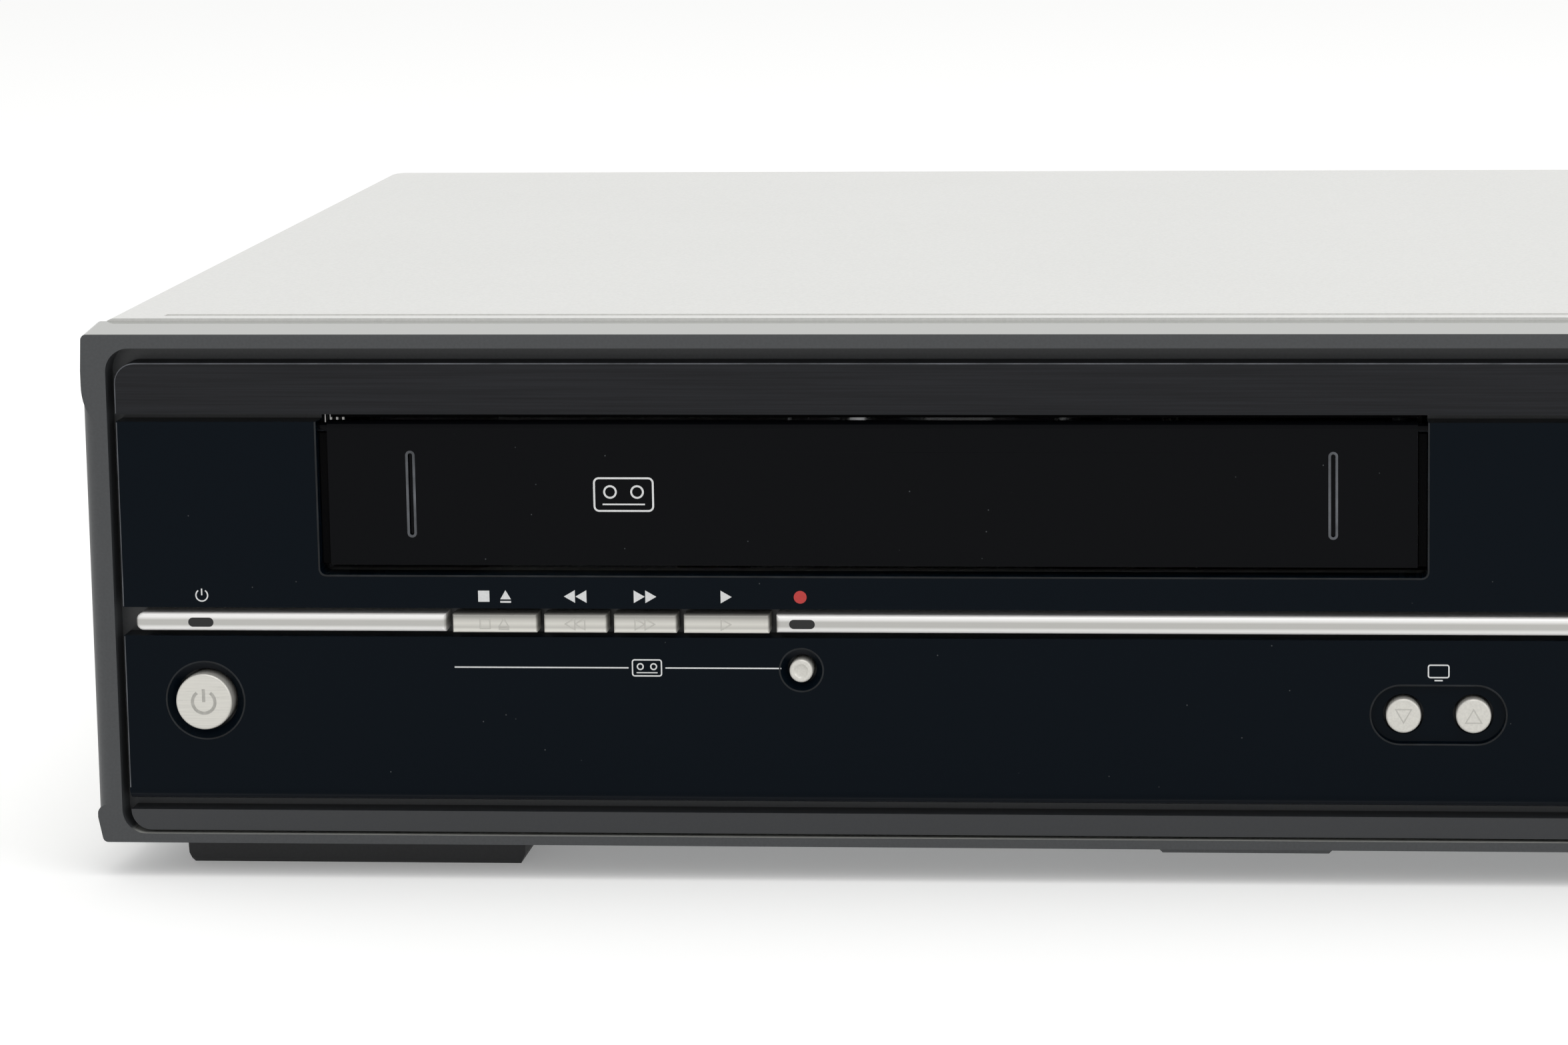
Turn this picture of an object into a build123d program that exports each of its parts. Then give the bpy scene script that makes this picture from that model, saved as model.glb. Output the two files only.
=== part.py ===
from build123d import *
import math
import os

os.makedirs("parts", exist_ok=True)

# A disc and tape combination recorder. The front looks along -Y, +X is to the right seen from
# the front and +Z is up. The origin is on the floor under the middle of the machine.
# All sizes are in millimetres.

# Heights of the front, stacked from the floor up
FRAME_CLEARANCE = 6.4
FRAME_SILL = 1.65
TRIM_GAP = 0.55
TRIM_HEIGHT = 3.8
TRIM_GROOVE = 1.8
TRIM_SETBACK = 0.6
LOWER_FASCIA_HEIGHT = 30.2
BAR_SLOT_HEIGHT = 5.2
UPPER_FASCIA_HEIGHT = 33.6
BROW_GROOVE = 1.4
BROW_HEIGHT = 9.2
TOP_GAP = 2.6
FRAME_HEAD = 2.5

frame_bottom = FRAME_CLEARANCE
frame_inner_bottom = frame_bottom + FRAME_SILL
trim_bottom = frame_inner_bottom + TRIM_GAP
trim_top = trim_bottom + TRIM_HEIGHT
lower_bottom = trim_top + TRIM_GROOVE
lower_top = lower_bottom + LOWER_FASCIA_HEIGHT
bar_centre = lower_top + BAR_SLOT_HEIGHT / 2
upper_bottom = lower_top + BAR_SLOT_HEIGHT
upper_top = upper_bottom + UPPER_FASCIA_HEIGHT
brow_bottom = upper_top + BROW_GROOVE
brow_top = brow_bottom + BROW_HEIGHT
frame_inner_top = brow_top + TOP_GAP
frame_top = frame_inner_top + FRAME_HEAD

# Front frame and the panels in it
FRAME_WIDTH = 435.0
FRAME_DEPTH = 10.0
FRAME_RISE = 1.0
FRAME_STILE = 4.5
FRAME_EDGE_ROUND = 1.0
FRAME_SLOPE_ROOM = 2.0
FRAME_MOUTH_ROUND = 4.3
COLUMN_CUT_WIDTH = 3.0
COLUMN_CUT_DEPTH = 1.8
COLUMN_CUT_BULGE = (0.42, 0.24)
COLUMN_CUT_BOTTOM = 5.3
COLUMN_CUT_TOP = 9.2
COLUMN_END_BOTTOM = 2.0
COLUMN_END_TOP = 6.2
FOOT_TAPER = (0.9, 4.6)
HEAD_TAPER = (0.35, 7.5)
BLOCK_GAP = 1.5
BLOCK_ROUND = 3.7
WEB_SETBACK = 5.0
WEB_THICKNESS = 2.5
PANEL_SETBACK = 0.2
TONGUE_DEPTH = 4.0
TONGUE_WALL = 2.5
TONGUE_FIT = 0.1
ROLL_RADIUS = 2.2
LUG_WIDTH = 30.6
LUG_CENTRE = -10.9
LUG_DROP = 0.7
LUG_SETBACK = 0.6
LUG_TAIL = 1.0
LUG_SLOPE = 0.56

block_half = FRAME_WIDTH / 2 - FRAME_STILE - BLOCK_GAP

# Casing
COVER_LENGTH = 247.0
COVER_STEP = 1.3
COVER_LIFT = 0.5
SHEET = 0.8
COVER_EDGE = 2.5
COVER_CORNER = 4.5
COVER_LIP = 8.0
HEM_SETBACK = 3.0
HEM_WIDTH = 2.4
HEM_DEPTH = 0.25
HEM_INSET = 10.7
VENT_COUNT = 14
VENT_PITCH = 6.0
VENT_WIDTH = 2.2
VENT_LENGTH = 26.0
VENT_RISE = 34.0
VENT_TAIL = 20.0
FLOOR_VENT_PITCH = 4.2
FLOOR_VENT_SETBACK = 110.0
CHASSIS_PLATE = 1.0
CHASSIS_CLEARANCE = 8.0
CHASSIS_FLANGE = 13.0
CHASSIS_FIT = 0.4
FLANGE_GAP = 1.0
PANEL_PLATE = 1.0
PANEL_SETBACK_REAR = 1.0
PANEL_FIT = 1.4
PHONO_REACH = 9.0
SCREW_SHANK = 1.5
SCREW_HEAD = 3.2
SCREW_HEAD_HEIGHT = 1.6
SCREW_LENGTH = 6.0
SCREW_FIT = 0.05
SCREW_RISE = 7.0
SIDE_SCREW_SHARES = (0.24, 0.83)
REAR_SCREW_SHARE = 0.347

# Feet
FRONT_FOOT_LENGTH = 62.5
FRONT_FOOT_DEPTH = 16.0
FRONT_FOOT_INSET = 38.6
FRONT_FOOT_SLOPE = 1.2
FRONT_FOOT_DRAFT = 0.3
FRONT_FOOT_CHAMFER = 1.8
FRONT_FOOT_EDGE = 0.8
REAR_FOOT_RADIUS = 11.0
REAR_FOOT_SIDE = 35.4
REAR_FOOT_INSET = 24.0
REAR_FOOT_EDGE = 1.0

# Keys, buttons and bars
BAR_HEIGHT = 3.2
BAR_PROUD = 0.4
BAR_INSET = 2.4
BAR_ROUND = 0.9
BAR_END_ROUND = 1.3
KEY_INSET = 57.3
KEY_WIDTHS = (15.1, 11.2, 11.2, 15.2)
KEY_GAP = 1.3
KEY_HEIGHT = 3.3
KEY_PROUD = 0.7
KEY_ROUND = 0.6
KEY_BACK = 3.8
KEY_TRAVEL = 0.9
STEM_RADIUS = 1.1
STEM_CLEARANCE = 0.4
LENS_LENGTH = 4.6
LENS_HEIGHT = 1.7
LENS_INSETS = (11.8, 4.6)
LENS_SETBACK = 0.2
LENS_FIT = 0.02
POWER_RADIUS = 5.1
POWER_INSET = 14.4
POWER_RISE = 18.4
POWER_PROUD = 1.2
POWER_DISH = 6.9
RECORD_RADIUS = 2.1
RECORD_INSET = 5.6
RECORD_RISE = 24.4
RECORD_DISH = 3.7
RECORD_HOLLOW = 1.3
RECORD_HOLLOW_DEPTH = 0.5
CHANNEL_RADIUS = 3.1
CHANNEL_PAST_DOOR = 3.7
CHANNEL_SPACING = 12.3
CHANNEL_RISE = 16.8
CHANNEL_RECESS = (23.6, 10.3, 1.0)
BUTTON_PROUD = 0.6
BUTTON_CLEARANCE = 0.5
BUTTON_ROUND = 0.5
DISH_DEPTH = 1.3

# Cassette door and its opening
CASSETTE_WIDTH = 187.0
DOOR_SHARE = 0.365
DOOR_MARGIN = 6.2
DOOR_HEIGHT = 26.0
DOOR_THICKNESS = 2.5
DOOR_SETBACK = 1.4
DOOR_SIDE_GAP = 1.7
DOOR_BOTTOM_GAP = 1.6
DOOR_TOP_GAP = 1.2
DOOR_PIN_RADIUS = 0.8
DOOR_PIN_LENGTH = 3.7
PIN_FIT = 0.05
DOOR_GROOVE_INSET = 14.8
DOOR_GROOVE = (1.5, 15.5, 0.6)
DOOR_GROOVE_DROP = 0.2
DOOR_BEARING_DEPTH = 0.3
SLOT_ROUND = 1.2

door_top = upper_top
door_bottom = door_top - DOOR_HEIGHT
door_centre = -DOOR_SHARE * block_half
door_width = CASSETTE_WIDTH + DOOR_MARGIN
door_left = door_centre - door_width / 2
door_right = door_centre + door_width / 2
slot_left = door_left - DOOR_SIDE_GAP
slot_right = door_right + DOOR_SIDE_GAP
slot_bottom = door_bottom - DOOR_BOTTOM_GAP
slot_top = door_top + DOOR_TOP_GAP

# Depths, from the front plane back
depth_behind = FRAME_DEPTH + COVER_LENGTH - SHEET - PANEL_SETBACK_REAR + PHONO_REACH
face = (POWER_PROUD - depth_behind) / 2
web_front = face + WEB_SETBACK
web_back = web_front + WEB_THICKNESS
frame_back = face + FRAME_DEPTH
cover_front = frame_back
cover_back = cover_front + COVER_LENGTH
cover_top = frame_top + FRAME_RISE + COVER_LIFT
cover_width = FRAME_WIDTH - 2 * COVER_STEP
cover_inner = cover_width / 2 - SHEET
hem_length = cover_width - 2 * HEM_INSET
side_screw_ys = [cover_front + share * COVER_LENGTH for share in SIDE_SCREW_SHARES]
rear_screw_xs = [turn * REAR_SCREW_SHARE * cover_width for turn in (-1, 0, 1)]
front_foot_x = block_half - FRONT_FOOT_INSET
rear_foot_x = cover_inner - REAR_FOOT_SIDE
cover_roof = cover_top - SHEET
chassis_bottom = CHASSIS_CLEARANCE
chassis_top = chassis_bottom + CHASSIS_PLATE
panel_back = cover_back - SHEET - PANEL_SETBACK_REAR
panel_front = panel_back - PANEL_PLATE
hinge_y = face + DOOR_SETBACK + DOOR_THICKNESS / 2
hinge_z = door_top - DOOR_THICKNESS / 2
bar_end = block_half - BAR_INSET
key_start = bar_end - KEY_INSET
power_x = POWER_INSET - block_half
channel_x = door_right + CHANNEL_PAST_DOOR

# Control board behind the front
BOARD_THICKNESS = 1.6
CONTROL_GAP = 8.4
CONTROL_INSET = 5.5
CONTROL_BOTTOM = 13.0
CONTROL_TOP_GAP = 3.0
SWITCH_SIZE = 6.0
SWITCH_HEIGHT = 1.2
SWITCH_REACH = 0.3
CONTROL_FOOT = 5.0
CONTROL_FOOT_WIDTH = 8.0
CONTROL_FOOT_RISE = 8.0
CONTROL_FOOT_INSETS = (20.0, 60.0)
DISPLAY_HEIGHT = 4.4
DISPLAY_INSET = 4.0
DISPLAY_FLANGE = 4.0

control_half = block_half - CONTROL_INSET
control_front = web_back + CONTROL_GAP
control_back = control_front + BOARD_THICKNESS
control_top = slot_bottom - CONTROL_TOP_GAP
stem_end = control_front - SWITCH_HEIGHT - SWITCH_REACH - KEY_TRAVEL

# Disc drive
DISC_SHARE = 0.572
DISC_SETBACK = 81.8
TRAY_FRONT_WIDTH = 148.0
TRAY_FRONT_HEIGHT = 16.6
TRAY_FRONT_THICKNESS = 4.2
TRAY_FRONT_SETBACK = 0.4
TRAY_FRONT_GAP = 0.6
TRAY_FRONT_DROP = 1.6
TRAY_WIDTH = 136.0
TRAY_THICKNESS = 5.0
TRAY_RISE = 5.0
TRAY_TAIL = 82.0
TRAY_TRAVEL = 128.0
DISC_RECESS = 60.5
SMALL_RECESS = 40.5
RECESS_DEPTH = 2.5
SMALL_DEPTH = 0.8
TRAY_SLOT = 40.0
DRIVE_WALL = 2.0
DRIVE_FLOOR_DROP = 25.0
DRIVE_SIDE_GAP = 2.0
DRIVE_GAP = 4.2
DRIVE_TAIL = 10.0
DRIVE_HEADROOM = 5.5
DRIVE_LIP = 5.0
RAIL_WIDTH = 5.0
RAIL_GAP = 0.3
RAIL_HEIGHT = 2.0
BRIDGE_PLATE = 1.0
BRIDGE_DEPTH = 46.0
CLAMP_RADIUS = 13.0
CLAMP_NECK = 10.5
CLAMP_GAP = 0.5
CLAMP_CLEARANCE = 0.4
CLAMP_FLANGE = 2.2
CLAMP_REACH = 3.6
GEAR_MODULE = 1.0
GEAR_TEETH = 16
GEAR_TOOTH = 1.1
GEAR_HEIGHT = 3.4
GEAR_SETBACK = 27.8
RACK_INSET = 8.0
RACK_BACK = 1.6
RACK_HEIGHT = 4.0
POST_RADIUS = 1.5
POST_COLLAR = 2.0
TRAY_CORNER = 6.0
TRAY_FRONT_ROUND = 0.5
GEAR_DROP = 0.6
GEAR_SEAT = 0.4
RACK_START = 2.0
TOOTH_ROOT = 1.25
TOOTH_TIP = 0.8
TOOTH_ROOT_SHARE = 0.75
TOOTH_TIP_SHARE = 0.3

disc_x = DISC_SHARE * block_half
tray_top_edge = upper_top - TRAY_FRONT_DROP
tray_front_bottom = tray_top_edge - TRAY_FRONT_HEIGHT
tray_bottom = tray_front_bottom + TRAY_RISE
tray_top = tray_bottom + TRAY_THICKNESS
tray_floor = tray_top - RECESS_DEPTH
tray_face = face + TRAY_FRONT_SETBACK
tray_start = tray_face + TRAY_FRONT_THICKNESS
disc_y = face + DISC_SETBACK
tray_end = disc_y + TRAY_TAIL
tray_left = disc_x - TRAY_WIDTH / 2
tray_right = disc_x + TRAY_WIDTH / 2
drive_front = control_back + DRIVE_GAP
drive_back = tray_end + DRIVE_TAIL
drive_bottom = tray_bottom - DRIVE_FLOOR_DROP
drive_floor = drive_bottom + DRIVE_WALL
drive_top = tray_top + DRIVE_HEADROOM
drive_left = tray_left - DRIVE_SIDE_GAP - DRIVE_WALL
drive_right = tray_right + DRIVE_SIDE_GAP + DRIVE_WALL
gear_radius = GEAR_MODULE * GEAR_TEETH / 2
gear_y = face + GEAR_SETBACK
rack_pitch_x = tray_left + RACK_INSET + RACK_BACK + TOOTH_ROOT * GEAR_MODULE
gear_bottom = tray_bottom - GEAR_DROP - GEAR_HEIGHT
gear_x = rack_pitch_x + gear_radius

# Optical traverse, drawn raised and stored lowered
TILT = 5.0
TRAVERSE_HALF = 44.0
TRAVERSE_PLATE = 2.0
TRAVERSE_NOSE = 22.0
TRAVERSE_ARM = 84.0
TRAVERSE_DROP = 7.5
PIVOT_RADIUS = 2.0
PIVOT_REACH = 5.0
LUG_GAP = 1.5
LUG_THICKNESS = 3.5
LUG_ROUND = 4.0
SPINDLE_RADIUS = 11.0
SPINDLE_HEIGHT = 6.0
SPINDLE_SHAFT = 1.5
TURNTABLE_RADIUS = 15.0
TURNTABLE_THICKNESS = 4.0
CONE_RADIUS = 7.3
CONE_HEIGHT = 1.8
DISC_LIFT = 1.0
SLED_HALF = 26.0
SLED_LENGTH = 22.0
SLED_START = 13.0
SLED_TRAVEL = 35.0
SLED_HEIGHT = 4.3
SLED_HEAD_HALF = 14.0
SLED_HEAD_INSET = 3.5
SLED_HEAD_TAIL = 1.0
SLED_HEAD_HEIGHT = 2.4
LENS_RADIUS = 3.0
LENS_RISE = 0.7
ROD_RADIUS = 1.5
ROD_SPREAD = 21.0
ROD_LUG = 3.0
ROD_FIT = 0.05
ROD_RISE = 0.6
ROD_LUG_HALF = 3.0
ROD_LUG_CROWN = 1.0
SLED_SLACK = 1.2
SPINDLE_SEAT = 1.0
SPINDLE_PLAY = 0.2
PIVOT_ROOT = 3.0
CONE_SHARE = 0.7

pivot_y = disc_y + TRAVERSE_ARM
plate_top = tray_bottom - TRAVERSE_DROP + TRAVERSE_PLATE
plate_bottom = plate_top - TRAVERSE_PLATE
pivot_z = plate_bottom + TRAVERSE_PLATE / 2
rod_z = plate_top + ROD_RADIUS + ROD_RISE
turntable_top = tray_floor + DISC_LIFT
sled_front = disc_y + SLED_START
rod_front = sled_front - SLED_SLACK - ROD_LUG
rod_back = sled_front + SLED_LENGTH + SLED_TRAVEL + SLED_SLACK + ROD_LUG

# Tape deck
DECK_PLATE = 1.2
DECK_WALL_GAP = 1.2
DECK_HEADROOM = 6.0
BASKET_DROP = 22.0
BASKET_TRAVEL = 60.0
BASKET_FLOOR = 1.0
BASKET_CLEAR = 8.0
BASKET_DEPTH = 76.0
BASKET_SETBACK = 33.8
CASSETTE_SLACK = 1.5
BASKET_SETDOWN = 0.6
BASKET_HEIGHT = 27.0
BASKET_RAIL = 30.0
BASKET_STRIP = 8.0
BASKET_CLIP = 12.0
SLIDER_GAP = 2.3
SLIDER_PLATE = 1.0
SLIDER_LENGTH = 56.0
SLIDER_INSET = 10.0
SLIDER_RISE = 7.0
SLIDER_DROP = 2.0
SLIDER_ROD_OFFSET = 12.0
SLIDER_ROD_DROP = 2.5
GUIDE_PIN = 1.5
GUIDE_SLACK = 0.4
GUIDE_HEIGHT = 22.0
DECK_TAIL = 68.0
DECK_WALL_END = 8.0
DRUM_RADIUS = 31.0
DRUM_BEHIND = 36.0
DRUM_TILT = 6.0
DRUM_BASE_HEIGHT = 14.0
DRUM_HEAD_HEIGHT = 13.0
DRUM_GAP = 0.4
DRUM_RISE = 6.0
DRUM_SHAFT = 3.0
DRUM_SHAFT_SEAT = 3.0
DRUM_SHAFT_PLAY = 0.5
DRUM_BLOCK_HALF = 16.0
DRUM_PAD = 2.0
DRUM_PAD_INSET = 6.0
DRUM_BLOCK_TOP = 3.0
DRUM_CROWN_WALL = 5.0
DRUM_CROWN_DEPTH = 3.0
REEL_SPACING = 92.0
REEL_SETBACK = 48.0
REEL_DISC = 18.0
REEL_DISC_HEIGHT = 2.5
REEL_HUB = 6.5
REEL_HEIGHT = 17.0
REEL_LIFT = 1.8
REEL_SEAT = 0.4
REEL_SPLINES = 3
REEL_SPLINE = (1.0, 2.0, 1.6)
REEL_SPLINE_DROP = 3.0
REEL_POST_DROP = 1.0
CAPSTAN_RADIUS = 2.0
CAPSTAN_OFFSET = (47.0, 20.0)
CAPSTAN_RISE = 35.0
FLYWHEEL_RADIUS = 20.0
FLYWHEEL_HEIGHT = 6.0
FLYWHEEL_GAP = 2.0
PINCH_PIVOT = (16.0, 12.0)
PINCH_REACH = 18.0
PINCH_RADIUS = 6.0
PINCH_HEIGHT = 13.0
PINCH_GAP = 0.4
PINCH_SWING = 30.0
ARM_THICKNESS = 2.0
ARM_RISE = 15.0
ARM_HALF = 3.0
ARM_BOSS = 4.0
ARM_LIFT = 0.5
ARM_POST_REACH = 4.0
ROLLER_LIFT = 0.3
ROLLER_PIN_REACH = 1.0
GUIDE_POST_RADIUS = 2.5
GUIDE_POST_HEIGHT = 30.0
GUIDE_POST_OFFSET = (4.7, 12.0)

basket_half = CASSETTE_WIDTH / 2 + CASSETTE_SLACK
deck_half = basket_half + SLIDER_GAP + SLIDER_PLATE + DECK_WALL_GAP + DECK_PLATE
basket_floor = slot_bottom - BASKET_SETDOWN
basket_front = face + BASKET_SETBACK
basket_back = basket_front + BASKET_DEPTH
deck_top = basket_floor - BASKET_DROP - BASKET_CLEAR
deck_bottom = deck_top - DECK_PLATE
deck_front = basket_front
deck_back = basket_back + BASKET_TRAVEL + DECK_TAIL
deck_wall_top = basket_floor + BASKET_HEIGHT + DECK_HEADROOM
drum_x = door_centre
drum_y = basket_back + BASKET_TRAVEL + DRUM_BEHIND
reel_y = basket_back + BASKET_TRAVEL - REEL_SETBACK
capstan_x = drum_x + CAPSTAN_OFFSET[0]
capstan_y = drum_y - CAPSTAN_OFFSET[1]
pinch_x = capstan_x + PINCH_PIVOT[0]
pinch_y = capstan_y + PINCH_PIVOT[1]
slider_y = basket_front + SLIDER_INSET

# Boards and sockets
BOARD_LIFT = 7.0
BOSS_RADIUS = 3.5
MAIN_BOARD_WIDTH = 94.0
MAIN_BOARD_LENGTH = 205.0
POWER_BOARD_WIDTH = 73.0
POWER_BOARD_INSET = 8.4
BOARD_GAP = 6.0
POWER_BOARD_LENGTH = 170.0
BOARD_REAR_GAP = 2.0
BOARD_INSET = 6.0
POST_CLEARANCE = 1.5
DRIVE_POST_RADIUS = 4.0
DRIVE_POST_INSET = 8.0
DECK_POST_RADIUS = 4.0
DECK_POST_INSET = 8.0
SCART_WIDTH = 47.0
SCART_HEIGHT = 16.5
SCART_PITCH = 22.0
SCART_OFFSET = 48.0
SCART_DEPTH = 18.0
SCART_PROUD = 1.5
SCART_CAVITY = (42.0, 9.0, 8.0)
BRACKET_GAP = 0.5
SOCKET_FIT = 0.3
PHONO_RADIUS = 4.15
PHONO_BORE = 1.7
PHONO_BORE_DEPTH = 8.0
PHONO_PITCH = 14.0
PHONO_COLUMNS = 4
PHONO_ROWS = 2
PHONO_OFFSET = 42.0
PHONO_PANEL_FIT = 0.6
PHONO_Z = 44.0
PHONO_DEPTH = 9.0
PHONO_BASE = 2.0
AERIAL_OFFSET = 8.0
AERIAL_PANEL_FIT = 0.4
AERIAL_PIN = 1.2
AERIAL_PIN_DROP = 1.0
AERIAL_Z = (34.0, 54.0)
AERIAL_RADIUS = 4.75
AERIAL_BORE = 3.6
AERIAL_CAN = (15.0, 52.0, 50.0)
INLET_INSET = 19.0
INLET_Z = 32.0
INLET_SIZE = (22.0, 14.0, 18.0)
INLET_CAVITY = (16.0, 9.0, 12.0)
INLET_PIN = 1.2
INLET_PIN_SPACING = 11.0
INLET_FLANGE = 3.0
INLET_LIP = 2.0
INLET_POST = 8.0
HDMI_OFFSET = 81.0
HDMI_SIZE = (15.5, 6.0, 14.0)
HDMI_WALL = 0.6
HDMI_PROUD = 0.6
HDMI_HOLLOW = 8.0
HDMI_TONGUE = (11.5, 1.4, 8.5)
HDMI_TONGUE_RISE = 2.4
HDMI_TONGUE_DROP = 0.5
FAN_OFFSET = 16.0
FAN_Z = 68.0
FAN_SIZE = 40.0
FAN_DEPTH = 10.0
FAN_BORE = 18.5
FAN_HUB = 8.0
FAN_TIP = 17.8
FAN_BLADES = 7
FAN_BLADE_TILT = 35.0
FAN_BLADE = (0.9, 6.4)
FAN_BLADE_ROOT = 1.0
FAN_PLATE = 1.6
FAN_STRUTS = 3
FAN_STRUT_HALF = 1.5
FAN_PLAY = 0.6
FAN_TAIL = 1.4
FAN_POST_DROP = 2.0
GRILLE_RINGS = 3
GRILLE_HOLES = 6
GRILLE_HOLE = 1.7
GRILLE_SPREAD = 3.6
FRONT_JACK_COUNT = 4
FRONT_JACK_PITCH = 14.0
FRONT_JACK_INSET = 41.5
FRONT_JACK_SETBACK = 0.8
FRONT_JACK_RING = 1.0
FRONT_JACK_RISE = 11.8
FRONT_JACK_HALF = 7.5
FRONT_JACK_DEPTH = 9.6
WINDOW_SIZE = (110.0, 7.2, 2.0)
WINDOW_LEDGE = 2.0
WINDOW_RISE = 8.6
DISPLAY_DEPTH = 8.0

# Parts on the main board: place from its front left corner, side and height
PROCESSOR = (40.0, 60.0, 28.0, 3.0)
MEMORY_CHIP = (66.0, 100.0, 20.0, 2.2)
SOUND_CHIP = (30.0, 132.0, 14.0, 2.2)
TAPE_CHIP = (70.0, 40.0, 16.0, 2.2)
CHIP_FINS = 7
CHIP_FIN_PITCH = 4.0
CHIP_FIN = 1.4
CHIP_FIN_INSET = 2.0
CHIP_FIN_SEAT = 0.1
CHIP_FIN_HEIGHT = 14.0

# Parts on the power board: place from its back left corner, then size
TRANSFORMER = (8.0, 62.0, 34.0, 32.0, 24.0)
SINK_PLATE = (58.0, 90.0, 4.0, 50.0, 22.0)
SINK_FINS = 6
SINK_FIN_PITCH = 9.0
SINK_FIN = 1.6
SINK_FIN_REACH = 8.0
SINK_FIN_SEAT = 0.1
MAINS_CAPACITOR = (16.0, 92.0, 8.0, 20.0)
OUTPUT_CAPACITOR = (34.0, 92.0, 6.0, 18.0)
LEFT_CAPACITOR = (16.0, 116.0, 5.0, 16.0)
RIGHT_CAPACITOR = (30.0, 118.0, 5.0, 16.0)

# How far a cutter passes the face that it cuts
PAST = 1.0

# How near two faces are when they count as the same
TOUCH = 0.01

power_right = cover_inner - POWER_BOARD_INSET
power_left = power_right - POWER_BOARD_WIDTH
main_right = power_left - BOARD_GAP
main_left = main_right - MAIN_BOARD_WIDTH
scart_x = main_left + SCART_OFFSET
aerial_x = main_left + AERIAL_OFFSET
hdmi_x = main_left + HDMI_OFFSET
phono_x = main_left - PHONO_OFFSET
inlet_x = power_right - INLET_INSET
fan_x = power_left + FAN_OFFSET
jack_row = (FRONT_JACK_COUNT - 1) * FRONT_JACK_PITCH
jack_start = block_half - FRONT_JACK_INSET - jack_row / 2
front_jack_xs = [jack_start + i * FRONT_JACK_PITCH for i in range(FRONT_JACK_COUNT)]
board_bottom = chassis_top + BOARD_LIFT
board_top = board_bottom + BOARD_THICKNESS
board_back = panel_front - BOARD_REAR_GAP


def block(x0, x1, y0, y1, z0, z1):
    """A square block between two corners."""
    return Pos((x0 + x1) / 2, (y0 + y1) / 2, (z0 + z1) / 2) * Box(x1 - x0, y1 - y0, z1 - z0)


def upright(x, y, z, radius, length):
    """A round bar that rises from a point."""
    return Pos(x, y, z + length / 2) * Cylinder(radius, length)


def across(x, y, z, radius, length):
    """A round bar that runs along +X from a point."""
    return Pos(x + length / 2, y, z) * Rot(0, 90, 0) * Cylinder(radius, length)


def inward(x, y, z, radius, length):
    """A round bar that runs along +Y from a point."""
    return Pos(x, y + length / 2, z) * Rot(90, 0, 0) * Cylinder(radius, length)


def front_shape(outline, y0, y1):
    """A flat outline in X and Z, made solid from y0 back to y1."""
    return Pos(0, y1, 0) * extrude(Plane.XZ * outline, y1 - y0, dir=(0, -1, 0))


def edges_at(shape, axis, place, along=None):
    """The edges of a shape whose middle lies at one place along an axis, or only those that run one way."""
    index = {"x": 0, "y": 1, "z": 2}[axis]
    edges = shape.edges().filter_by(along) if along else shape.edges()
    return [edge for edge in edges if abs(tuple(edge.center())[index] - place) < TOUCH]


def save(name, shape):
    """Write one sub-part to its own file."""
    export_step(shape, "parts/" + name + ".step")


def group(solids):
    """Separate solids that share one file."""
    return Compound(children=[piece for piece in solids])


def block_outline(y0, y1):
    """The rounded outline of everything that stands inside the frame's mouth."""
    height = brow_top - trim_bottom
    outline = Pos(0, (brow_top + trim_bottom) / 2) * RectangleRounded(2 * block_half, height, BLOCK_ROUND)
    return front_shape(outline, y0, y1)


def key_places():
    """The x ranges of the four keys of one group, from the outer end in."""
    places = []
    outer = key_start
    for width in KEY_WIDTHS:
        places.append((outer - width, outer))
        outer = outer - width - KEY_GAP
    return places


keys_inner_end = key_places()[-1][0]
record_x = keys_inner_end - RECORD_INSET
power_z = lower_bottom + POWER_RISE
record_z = lower_bottom + RECORD_RISE
channel_z = lower_bottom + CHANNEL_RISE
jack_z = lower_bottom + FRONT_JACK_RISE
window_z = upper_bottom + WINDOW_RISE
channel_xs = (channel_x - CHANNEL_SPACING / 2, channel_x + CHANNEL_SPACING / 2)
round_buttons = {
    "power_button": (power_x, power_z, POWER_RADIUS, POWER_PROUD),
    "tape_record_button": (-record_x, record_z, RECORD_RADIUS, BUTTON_PROUD),
    "disc_record_button": (record_x, record_z, RECORD_RADIUS, BUTTON_PROUD),
    "channel_down_button": (channel_xs[0], channel_z, CHANNEL_RADIUS, BUTTON_PROUD),
    "channel_up_button": (channel_xs[1], channel_z, CHANNEL_RADIUS, BUTTON_PROUD),
}
left_key_names = ("stop_eject_key", "rewind_key", "forward_key", "play_key")
right_key_names = ("disc_open_key", "disc_back_key", "disc_next_key", "disc_play_key")


def stem_places():
    """The x and z of every key's and button's stem."""
    places = []
    for side in (-1, 1):
        for inner, outer in key_places():
            places.append((side * (inner + outer) / 2, bar_centre))
    for x, z, radius, proud in round_buttons.values():
        places.append((x, z))
    return places


# Casing

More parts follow.
